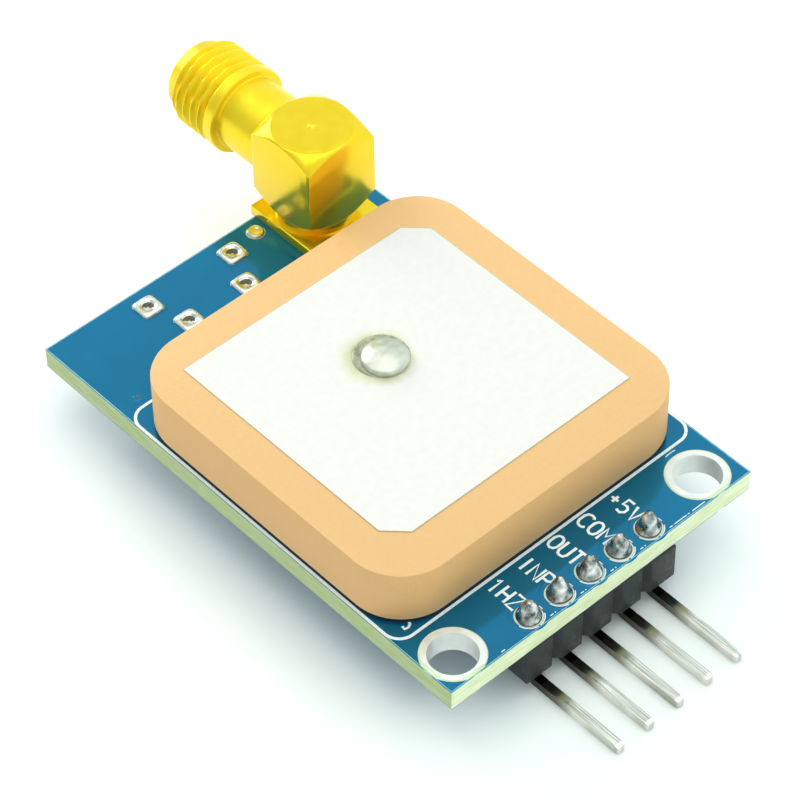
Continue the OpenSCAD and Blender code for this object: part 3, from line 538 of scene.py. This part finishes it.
# Bent pins: a square end face is drawn out along the pin, with a spin for the bend and tapered ends
low, high = places("header_pin_1")
tip_z, low_z, tip_y = high.z, low.z, low.y
BEND = 0.95
TAPER = 0.3
TIP = 0.52
WIRE_EDGE = 0.03
CRISP = 10
clear_selection()
bpy.ops.mesh.primitive_plane_add(size=TIP * MM, location=(pin_x(1) * MM, PIN_ROW_Y * MM, tip_z * MM))
pin = named("bent_pin_1")
bpy.ops.object.mode_set(mode="EDIT")
bpy.ops.mesh.select_all(action="SELECT")


def draw_out(step, widen=None):
    """Extrudes the end face by a step and, where the wire tapers, changes its width."""
    bpy.ops.mesh.extrude_region_move(TRANSFORM_OT_translate={"value": Vector(step) * MM})
    if widen:
        bpy.ops.transform.resize(value=widen)


grow = PIN_WIDTH / TIP
bend_top = low_z + PIN_WIDTH / 2 + BEND
draw_out((0, 0, -TAPER), (grow, grow, 1))
draw_out((0, 0, bend_top - tip_z + TAPER))
bpy.ops.mesh.spin(steps=10, angle=math.pi / 2, axis=(1, 0, 0),
                  center=(pin_x(1) * MM, (PIN_ROW_Y - BEND) * MM, bend_top * MM))
draw_out((0, tip_y + TAPER - (PIN_ROW_Y - BEND), 0))
draw_out((0, -TAPER, 0), (1 / grow, 1, 1 / grow))
close_up()
soften(pin, WIRE_EDGE, 2, 25)
for i in range(2, PIN_COUNT + 1):
    twin = copy_to(pin, f"bent_pin_{i}", (pin_x(i) - pin_x(1), 0, 0))
    dress(twin, pin_tin, "pin_plating", f"header_pin_{i}", smooth=CRISP)
dress(pin, pin_tin, "pin_plating", "header_pin_1", smooth=CRISP)

# Solder peaks on the header's pins, each a little different, as hand soldering leaves them
PEAK_FOOT = 0.15
PEAK_RANDOM = 0.1
FOOT_SHADE_HEIGHT = 0.1
peak = [(0, 0), (0.97, 0), (0.88, 0.06), (0.74, 0.3), (0.64, 0.6), (0.53, 0.9), (0.4, 1.16), (0.22, 1.35), (0, 1.42)]
peaks = []
for i in range(1, PIN_COUNT + 1):
    lump = turned("peak", peak, (pin_x(i), PIN_ROW_Y, BOARD_TOP), steps=9)
    choose("FACE", lambda centre, normal: centre.z > BOARD_TOP + PEAK_FOOT)
    bpy.ops.transform.vertex_random(offset=PEAK_RANDOM * MM, uniform=0.7, normal=0.3, seed=i)
    close_up()
    peaks.append(apply(lump, "SUBSURF", levels=2, render_levels=2))
# Solder that cooled in streaks of flux: bright and dark by turns
streaked_solder = finish("tin solder, streaked with flux", 0.55, ("#4F5252", "#B4B6B3", "#EDEDEC"),
                         (0.14, 0.28), 0.03, Metallic=1.0)
pin_joints = dress(join("header_joints", peaks), streaked_solder, "solder", "header_solder", smooth=80)
# Painted shade round their feet, in the dark rosin finish
pin_joints.data.materials.append(rosin_and_shade)
for face in pin_joints.data.polygons:
    if face.center.z < (BOARD_TOP + FOOT_SHADE_HEIGHT) * MM:
        face.material_index = 1

# Coax jack's elbow: a box cut to a turned outline with a seat for the cap, on a turned neck and a base plate
foot = (JACK_X, JACK_Y, BOARD_TOP)
ELBOW_HALF = 2.85
ELBOW_R = 4.06
ELBOW_FOOT = 1.5
ELBOW_TOP = 8.1
ELBOW_EDGE = 0.07
NECK_R = 2.75
NECK_FROM = 0.4
NECK_TO = 1.52
SEAT_R = 2.213
SEAT_DEPTH = 2.0
SEAT_MIDDLE = 8.58
BASE_HEIGHT = 0.8
BASE_EDGE = 0.08
LEG_LENGTH = 3.0
LEG_MIDDLE_Z = 0.2
elbow = block("jack_elbow", (JACK_X - ELBOW_HALF, JACK_Y - ELBOW_HALF, BOARD_TOP + ELBOW_FOOT),
              (JACK_X + ELBOW_HALF, JACK_Y + ELBOW_HALF, BOARD_TOP + ELBOW_TOP))
outline = [(0, ELBOW_FOOT), (NECK_R, ELBOW_FOOT), (ELBOW_R, 2.6), (ELBOW_R, 7.2), (2.75, ELBOW_TOP), (0, ELBOW_TOP)]
cut(elbow, turned("outline", outline, foot, steps=96), "INTERSECT")
soften(elbow, ELBOW_EDGE, 2, 20)
cut(elbow, rod("cap_seat", 96, SEAT_R, SEAT_DEPTH, (JACK_X, JACK_Y, BOARD_TOP + SEAT_MIDDLE)))
neck = turned("jack_neck", [(0, NECK_FROM), (NECK_R, NECK_FROM), (NECK_R, NECK_TO), (0, NECK_TO)], foot, steps=72)
low, high = places("coax_body")
base = block("jack_base", (low.x, low.y, BOARD_TOP), (high.x, high.y, BOARD_TOP + BASE_HEIGHT))
soften(base, BASE_EDGE, 2)
leg_places = [(x, y) for x in (-JACK_LEG_OUT, JACK_LEG_OUT) for y in (-JACK_LEG_OUT, JACK_LEG_OUT)]
legs = [rod("jack_leg", 24, JACK_LEG_R, LEG_LENGTH, (JACK_X + x, JACK_Y + y, LEG_MIDDLE_Z)) for x, y in leg_places]
dress(join("jack_elbow", [elbow, neck, base] + legs), gold, "gold_plating", "coax_body", smooth=25)

# Cap pressed flush into the elbow's top, with the turning nib at its middle
top_z = places("coax_cap")[1].z
CAP_R = 2.21
CAP_DEPTH = 0.5
NIB_R = 0.3
NIB_HEIGHT = 0.12
disc = [(0, -CAP_DEPTH), (CAP_R, -CAP_DEPTH), (CAP_R, -NIB_HEIGHT), (NIB_R, -NIB_HEIGHT)]
cap = turned("jack_cap", disc + dome(NIB_R, NIB_HEIGHT, -NIB_HEIGHT, 4), (JACK_X, JACK_Y, top_z))
dress(cap, gold, "gold_plating", "coax_cap")

# Threaded barrel: a turned blank whose skin is then cut to a helix
AXIS = (JACK_X, JACK_Y, JACK_AXIS_Z)
THREAD_PITCH = 0.7056
THREAD_DEPTH = 0.4
THREAD_R = 3.175
THREAD_FROM = 7.3
THREAD_TO = 10.9
THREAD_RINGS = 64
THREAD_ROOM = 0.01
THREAD_SKIN_R = 3.1
RUN_IN = 0.35
LEAD = 0.3
FLANK = 1.35
CREST = 0.15
blank = [(2.05, 2.15), (2.35, 2.15), (2.35, 2.85), (2.65, 2.85), (2.65, 6.5), (2.75, 6.6), (3.1, 6.6),
         (THREAD_R, 6.68), (THREAD_R, 7.25)]
blank += [(THREAD_R, THREAD_FROM + (THREAD_TO - THREAD_FROM) * k / THREAD_RINGS) for k in range(THREAD_RINGS + 1)]
blank += [(2.6, 10.92), (2.55, 10.98), (2.55, 11.7), (2.5, 11.78), (2.42, 11.8), (2.35, 11.8), (2.3, 11.75),
          (2.3, 9.9), (2.05, 9.9), (2.05, 2.15)]
barrel = turned("jack_barrel", blank, AXIS, along="Y", steps=96)
for point in barrel.data.vertices:
    here = point.co / MM - Vector(AXIS)
    away = math.hypot(here.x, here.z)
    if away > THREAD_SKIN_R and THREAD_FROM - THREAD_ROOM < here.y < THREAD_TO + THREAD_ROOM:
        turn = (here.y / THREAD_PITCH - math.atan2(here.z, here.x) / (2 * math.pi)) % 1
        groove = min(1.0, max(0.0, FLANK * (1 - abs(2 * turn - 1)) - CREST))
        run_in = min(1.0, max(0.0, (here.y - THREAD_FROM) / RUN_IN))
        chamfer = LEAD * max(0.0, (here.y - (THREAD_TO - LEAD)) / LEAD)
        shrink = (THREAD_R - max(THREAD_DEPTH * groove * run_in, chamfer)) / away
        point.co.x = (AXIS[0] + here.x * shrink) * MM
        point.co.z = (AXIS[2] + here.z * shrink) * MM
dress(barrel, lightened_satin_gold, "gold_plating", "coax_barrel", smooth=40)

# Solder in the data socket's leg slots: a rounded square lump with a hollow at its middle
PAD = 0.85
SQUARENESS = 5
ROUND_R = 0.3
HOLLOW_SHADE_R = 0.42
HOLLOW_SHADE_REAR = -0.12
HOLLOW_SHADE_FLOOR = 0.01
leg_spots = [(-5.23, 34.39), (-4.06, 31.64), (0.8, 31.64), (1.97, 34.39)]
first_x, first_y = leg_spots[0]
hollow = [(0, 0), (PAD, 0), (0.84, 0.09), (0.76, 0.17), (0.64, 0.2), (0.54, 0.18), (0.46, 0.12), (0.4, 0.06),
          (0.2, 0.03), (0, 0.03)]
lump = turned("leg_joint", hollow, (first_x, first_y, BOARD_TOP), steps=48)
for point in lump.data.vertices:
    here = point.co / MM - Vector((first_x, first_y, BOARD_TOP))
    away = math.hypot(here.x, here.y)
    if away > ROUND_R:
        c, s = abs(here.x / away), abs(here.y / away)
        corner = (c ** SQUARENESS + s ** SQUARENESS) ** (-1 / SQUARENESS)
        share = min(1.0, (away - ROUND_R) / (PAD - ROUND_R))
        squared = (1 + share * (corner - 1)) * MM
        point.co.x, point.co.y = first_x * MM + here.x * squared, first_y * MM + here.y * squared
leg_steps = [(x - first_x, y - first_y, 0) for x, y in leg_spots[1:]]
lumps = [lump] + [copy_to(lump, "leg_joint", step) for step in leg_steps]
leg_joints = dress(join("socket_joints", lumps), solder, "solder", "socket_solder", smooth=60)
# Painted shade in the hollows, on their rear side, in the dark rosin finish
leg_joints.data.materials.append(rosin_and_shade)
for face in leg_joints.data.polygons:
    middle = face.center / MM
    away = min((middle.xy - Vector(spot) for spot in leg_spots), key=lambda v: v.length)
    if away.length < HOLLOW_SHADE_R and away.x + away.y > HOLLOW_SHADE_REAR and middle.z > BOARD_TOP + HOLLOW_SHADE_FLOOR:
        face.material_index = 1

# Mask over the corners of the socket's pads: a thin frame round an opening with rounded corners
FRAME = 0.93
OPENING = 0.85
OPENING_CORNER_R = 0.36
FRAME_HEIGHT = 0.012
THROUGH = 0.1
window = block("pad_window", (first_x - FRAME, first_y - FRAME, BOARD_TOP),
               (first_x + FRAME, first_y + FRAME, BOARD_TOP + FRAME_HEIGHT))
opening = block("opening", (first_x - OPENING, first_y - OPENING, BOARD_TOP - THROUGH),
                (first_x + OPENING, first_y + OPENING, BOARD_TOP + THROUGH))
round_uprights(OPENING_CORNER_R, 8)
cut(window, opening)
windows = [window] + [copy_to(window, "pad_window", step) for step in leg_steps]
dress(join("pad_windows", windows), mask_blue, "solder_mask")

# Small plated hole under the mask near the antenna's corner, with a dark middle
TENTED = (-10.8, 28.73, BOARD_TOP)
tent = turned("tented_hole", [(0.12, 0), (0.3, 0), (0.26, 0.012), (0.16, 0.014), (0.12, 0)], TENTED, steps=24)
dress(tent, mask_blue, "solder_mask", smooth=60)
tent_middle = turned("tented_middle", [(0, 0), (0.12, 0), (0.1, 0.004), (0, 0.004)], TENTED, steps=24)
dress(tent_middle, rosin_and_shade, "solder_mask")

# Solder that fills the small plated hole beside the jack
VIA = (4.39, 34.84, BOARD_TOP)
fill = [(0, -1.6), (0.22, -1.6), (0.22, 0), (0.6, 0), (0.57, 0.09), (0.5, 0.16), (0.4, 0.18), (0.28, 0.15), (0, 0.1)]
dress(turned("via_cap", fill, VIA, steps=40), solder, "solder", "via_solder")

# Gaps in the copper round the header's pads, as low steps in the lacquer
STEP = 0.005
GAP_R = 1.17
GAP_WIDTH = 0.12
gaps = [arc((pin_x(i), PIN_ROW_Y), GAP_R, 20, 300, 28) for i in range(1, PIN_COUNT + 1)]
dress(stroke("copper_steps", gaps, GAP_WIDTH, BOARD_TOP, STEP), mask_blue, "solder_mask")

# Lip of the lacquer along the board's upper edges, in its pale painted-highlight finish
LIP = 0.06
LIP_WIDTH = 0.1
LIP_DROP = 0.02
LIP_HEIGHT = 0.03
lip = [(BOARD_LEFT_X + LIP, FRONT_EDGE_Y + LIP), (BOARD_RIGHT_X - LIP, FRONT_EDGE_Y + LIP),
       (BOARD_RIGHT_X - LIP, REAR_EDGE_Y - LIP), (BOARD_LEFT_X + LIP, REAR_EDGE_Y - LIP)]
edge_lip = stroke("lip_highlight", [lip + lip[:1]], LIP_WIDTH, BOARD_TOP - LIP_DROP, LIP_HEIGHT)
dress(edge_lip, lip_highlight, "solder_mask", smooth=60)

# Printed pin names, one stroke wide, from letters drawn on a grid 0.6 wide and 1 high
LETTERS = {
    "+": [[(0.05, 0.5), (0.55, 0.5)], [(0.3, 0.25), (0.3, 0.75)]],
    "5": [[(0.55, 1), (0.08, 1), (0.05, 0.55), (0.35, 0.6), (0.55, 0.45), (0.55, 0.2), (0.35, 0), (0.05, 0.05)]],
    "V": [[(0, 1), (0.3, 0), (0.6, 1)]],
    "C": [[(0.6, 0.85), (0.5, 0.97), (0.3, 1), (0.1, 0.92), (0, 0.7), (0, 0.3), (0.1, 0.08), (0.3, 0),
           (0.5, 0.03), (0.6, 0.15)]],
    "O": [[(0.3, 0), (0.1, 0.08), (0, 0.3), (0, 0.7), (0.1, 0.92), (0.3, 1), (0.5, 0.92), (0.6, 0.7), (0.6, 0.3),
           (0.5, 0.08), (0.3, 0)]],
    "M": [[(0, 0), (0, 1), (0.3, 0.45), (0.6, 1), (0.6, 0)]],
    "U": [[(0, 1), (0, 0.25), (0.1, 0.05), (0.3, 0), (0.5, 0.05), (0.6, 0.25), (0.6, 1)]],
    "T": [[(0, 1), (0.6, 1)], [(0.3, 1), (0.3, 0)]],
    "I": [[(0.3, 0), (0.3, 1)]],
    "N": [[(0, 0), (0, 1), (0.6, 0), (0.6, 1)]],
    "P": [[(0, 0), (0, 1), (0.4, 1), (0.58, 0.88), (0.58, 0.6), (0.4, 0.48), (0, 0.48)]],
    "1": [[(0.1, 0.8), (0.3, 1), (0.3, 0)]],
    "H": [[(0, 0), (0, 1)], [(0.6, 0), (0.6, 1)], [(0, 0.5), (0.6, 0.5)]],
    "Z": [[(0, 1), (0.6, 1), (0, 0), (0.6, 0)]],
}
LETTER_HEIGHT = 1.15
LETTER_WIDTH = 1.08
LETTER_STEP = 0.88
LETTER_STROKE = 0.19
NAME_START_Y = 2.38
NAME_SHIFT_X = 0.15
INK = 0.02
name_paths = []
for i, name in zip(range(PIN_COUNT, 0, -1), ("+5V", "COM", "OUT", "INP", "1HZ")):
    for k, letter in enumerate(name):
        for path in LETTERS[letter]:
            name_paths.append([(pin_x(i) + NAME_SHIFT_X + (v - 0.5) * LETTER_HEIGHT,
                                NAME_START_Y - k * LETTER_STEP - u * LETTER_WIDTH) for u, v in path])
names = stroke("pin_names", name_paths, LETTER_STROKE, BOARD_TOP + STEP, INK)
dress(names, ink, "white_ink", smooth=60)

# Thin printed marks: broken rings round the header's pads, dashes along the front edge, an arc at the right hole
# and a small hook at the left front
MARK_R = 0.98
HOLE_MARK_R = 2.4
MARK_WIDTH = 0.07
MARK_HEIGHT = 0.012
RING_PARTS = ((190, 262, 14), (272, 330, 14), (25, 60, 6), (350, 368, 4))
DASH_Y = -1.86
PIN_DASHES = ((0.95, 1.2), (1.32, 1.42))
EDGE_DASHES = ((6.4, 7.5), (7.6, 7.75), (8.0, 9.1), (-8.2, -7.9))
HOOK = [(-11.15, 3.6), (-11.2, 3.35), (-10.95, 3.3), (-10.68, 3.42), (-10.62, 3.66)]
HOOK_WIDTH = 0.18
mark_paths = []
for i in range(1, PIN_COUNT + 1):
    mark_paths += [arc((pin_x(i), PIN_ROW_Y), MARK_R, *part) for part in RING_PARTS]
    mark_paths += [[(pin_x(i) + a, DASH_Y), (pin_x(i) + b, DASH_Y)] for a, b in PIN_DASHES]
mark_paths += [[(a, DASH_Y), (b, DASH_Y)] for a, b in EDGE_DASHES]
mark_paths += [arc((HOLE_X, 0), HOLE_MARK_R, 80, 100, 6)]
marks = stroke("thin_marks", mark_paths, MARK_WIDTH, BOARD_TOP + STEP, MARK_HEIGHT)
hook = stroke("corner_mark", [HOOK], HOOK_WIDTH, BOARD_TOP, INK)
dress(join("thin_marks", [marks, hook]), ink, "white_ink", smooth=60)

# Edge of the silver print: a thin line where the paste runs out
FEED_CLEAR = 5
PASTE_EDGE_WIDTH = 0.07
PASTE_EDGE_HEIGHT = 0.02
EDGE_DEPTH = 0.01
print_points = [v.co / MM for v in nodes["antenna_electrode"].data.vertices]
middle = sum(print_points, Vector()) / len(print_points)
corners = {(round(v.x, 3), round(v.y, 3)) for v in print_points
           if v.z > head_z - EDGE_DEPTH and (v.xy - Vector((FEED_X, FEED_Y))).length > FEED_CLEAR}
corners = sorted(corners, key=lambda p: math.atan2(p[1] - middle.y, p[0] - middle.x))
# Paste that ran out thin: the ceramic shows through
paste_edge = finish("fired silver paste, thin edge", 0.3, ("#B9B094", "#CFC8AE"), (0.5, 0.7), 0.003)
print_edge = stroke("paste_edge", [corners + corners[:1]], PASTE_EDGE_WIDTH, head_z - EDGE_DEPTH, PASTE_EDGE_HEIGHT)
dress(print_edge, paste_edge, "fired_silver", smooth=60)

# Parts under the board: each solid's copy, with its edges eased as moulding, folding or firing leaves them
EASED = {
    "receiver_shield": 0.18, "memory_chip": 0.07, "memory_leads": 0.05, "regulator": 0.06, "regulator_leads": 0.05,
    "backup_cell": 0.2, "backup_cell_tabs": 0.04, "status_led": 0.06, "resistors": 0.04, "capacitors": 0.08,
    "chip_terminals": 0.06, "socket_shell": 0.06, "socket_insulator": 0.05, "socket_contacts": 0.04,
}
DOT_R = 0.3
DOT_DEPTH = 0.16
DOT_IN = 0.7
for node, width in EASED.items():
    eased = soften(copy_solid(f"eased_{node}", node), width, 3, 35)
    if node == "memory_chip":
        # Moulded dot that shows its first lead
        low, high = places(node)
        cut(eased, rod("first_lead_dot", 32, DOT_R, DOT_DEPTH, (low.x + DOT_IN, high.y - DOT_IN, low.z)))
    slot = NODE_SLOT[node]
    dress(eased, SLOT_FINISH[slot], slot, node)

# Solder fillets round the jack's legs and contact
LEG_WET_R = 0.65
CONTACT_WET_R = 0.83
FILLET = ((1.0, 0.0), (0.8, 0.08), (0.52, 0.28), (0.3, 0.55), (0.14, 0.82), (0.04, 1.0))
FILLET_END = -1.02
wetted = [(x, y, JACK_LEG_R, LEG_WET_R) for x, y in leg_places] + [(0, 0, JACK_CONTACT_R, CONTACT_WET_R)]
fillets = []
for x, y, inner, outer in wetted:
    side = [(inner + (outer - inner) * share, -depth) for share, depth in FILLET]
    section = [(inner, 0)] + side + [(inner, FILLET_END), (inner, 0)]
    fillets.append(turned("jack_fillet", section, (JACK_X + x, JACK_Y + y, 0), steps=36))
dress(join("jack_fillets", fillets), solder, "solder", "coax_solder", smooth=60)

# Solder drawn up into the half-round notches along the receiver's board
NOTCHES = 12
low, high = places("receiver_board")
notch_pitch = (high.x - low.x) / (NOTCHES + 2)
notch_x = (low.x + high.x) / 2 - (NOTCHES - 1) / 2 * notch_pitch
drawn_up = [(0, 0), (0.25, 0), (0.245, -0.12), (0.22, -0.45), (0.17, -0.68), (0, -0.73)]
drop = turned("notch_joint", drawn_up, (notch_x, low.y, 0), steps=20)
drops = [copy_to(drop, "notch_joint", (i * notch_pitch, y - low.y, 0))
         for i in range(NOTCHES) for y in (low.y, high.y)]
bpy.data.objects.remove(drop, do_unlink=True)
dress(join("receiver_joints", drops), solder, "solder", smooth=60)

# Printed outlines under the board: lines beside each part, ticks at the receiver's corners, arcs round the cell
CHIP_GAP = 0.3
REGULATOR_GAP = 0.25
TICK = 1.4
TICK_GAP = 0.3
CELL_RING_R = 3.75
OUTLINE_WIDTH = 0.15
# Middle, half length and distance of the lines beside the resistors, the capacitors and the lamp
SMALL_PARTS = ((-7.55, 32.02, 0.8, 0.65), (-2.3, 20.2, 0.8, 0.65), (-2.3, 26.21, 0.8, 0.65), (1.6, 20.2, 0.8, 0.65),
               (1.6, 26.21, 0.8, 0.65), (-2.3, 28.1, 1.0, 0.88), (1.6, 28.1, 1.0, 0.88), (7.25, 28.15, 1.0, 0.88),
               (-10.15, 32.02, 1.0, 0.9))
low, high = places("memory_chip")
outlines = [[(low.x, y), (high.x, y)] for y in (low.y - CHIP_GAP, high.y + CHIP_GAP)]
low, high = places("regulator")
outlines += [[(x, low.y), (x, high.y)] for x in (low.x - REGULATOR_GAP, high.x + REGULATOR_GAP)]
low, high = places("receiver_board")
for x, inward in ((low.x - TICK_GAP, 1), (high.x + TICK_GAP, -1)):
    for y, forward in ((low.y - TICK_GAP, 1), (high.y + TICK_GAP, -1)):
        outlines.append([(x + TICK * inward, y), (x, y), (x, y + TICK * forward)])
low, high = places("backup_cell")
cell = ((low.x + high.x) / 2, (low.y + high.y) / 2)
outlines += [arc(cell, CELL_RING_R, -62, 62, 28), arc(cell, CELL_RING_R, 118, 242, 28)]
for x, y, half, side in SMALL_PARTS:
    outlines += [[(x - half, y + v), (x + half, y + v)] for v in (-side, side)]
# Line at the lamp's end, and three sides round the jack
outlines += [[(-11.45, 31.3), (-11.45, 32.74)], [(5.0, 30.2), (5.0, 35.9)], [(11.7, 30.2), (11.7, 35.9)],
             [(6.8, 29.95), (9.9, 29.95)]]
dress(stroke("under_outlines", outlines, OUTLINE_WIDTH, 0, INK), ink, "white_ink", smooth=60)

# Floor, light and camera
FLOOR_Z = cad_box[0][2]
FLOOR_SIZE = 3.0
clear_selection()
bpy.ops.mesh.primitive_plane_add(size=FLOOR_SIZE, location=(0, 0, FLOOR_Z))
floor = named("floor")
# Smooth white paper: matte, with no grain that shows
paper = finish("white paper sweep", 40.0, ("#F8FAFA", "#FBFDFD"), (0.75, 0.85), 0.01)
floor.data.materials.append(paper)

# The studio is white all round, and a little brighter to the front right and above
SKY_SLOPE = (0.28, -0.14, 0.2)
SKY_LEVEL = 0.86
SKY_TINT = "#EFFEFB"
world = bpy.data.worlds.new("white studio")
bpy.context.scene.world = world
world.use_nodes = True
sky = world.node_tree
toward = add(sky, "ShaderNodeTexCoord", {}).outputs["Generated"]
rise = add(sky, "ShaderNodeVectorMath", {0: toward, 1: SKY_SLOPE}, operation="DOT_PRODUCT").outputs["Value"]
sky_light = add(sky, "ShaderNodeMath", {0: rise, 1: SKY_LEVEL}, operation="ADD").outputs["Value"]
backdrop = sky.nodes["Background"]
put(sky, backdrop.inputs["Color"], SKY_TINT)
put(sky, backdrop.inputs["Strength"], sky_light)


def softbox(name, place, target, size, power, tint):
    """A rectangular light at a place, in metres, that faces a target."""
    light = bpy.data.lights.new(name, "AREA")
    light.shape = "RECTANGLE"
    light.size, light.size_y = size
    light.energy = power
    light.color = linear(tint)[:3]
    holder = bpy.data.objects.new(name, light)
    bpy.context.scene.collection.objects.link(holder)
    holder.location = place
    holder.rotation_euler = (Vector(target) - Vector(place)).to_track_quat("-Z", "Y").to_euler()


OBJECT_MIDDLE = (0.0, 0.017, 0.002)
WARM_WHITE = "#FFF8F0"
softbox("top softbox", (0.02, 0.05, 0.45), OBJECT_MIDDLE, (0.4, 0.4), 0.55, WARM_WHITE)
softbox("rear softbox", (0.0, 0.5, 0.2), OBJECT_MIDDLE, (0.25, 0.25), 1.2, WARM_WHITE)

CAMERA_PLACE = (-0.100184, -0.095763, 0.166659)
CAMERA_TURN = (42.5946, 0.6125, -42.5606)
CAMERA_LENS = 159.656
camera = bpy.data.objects.new("camera", bpy.data.cameras.new("camera"))
bpy.context.scene.collection.objects.link(camera)
camera.data.sensor_width = 36.0
camera.data.lens = CAMERA_LENS
camera.data.clip_start = 0.01
camera.location = CAMERA_PLACE
camera.rotation_euler = [math.radians(a) for a in CAMERA_TURN]
bpy.context.scene.camera = camera
bpy.context.scene.view_settings.view_transform = "Standard"

clear_selection()
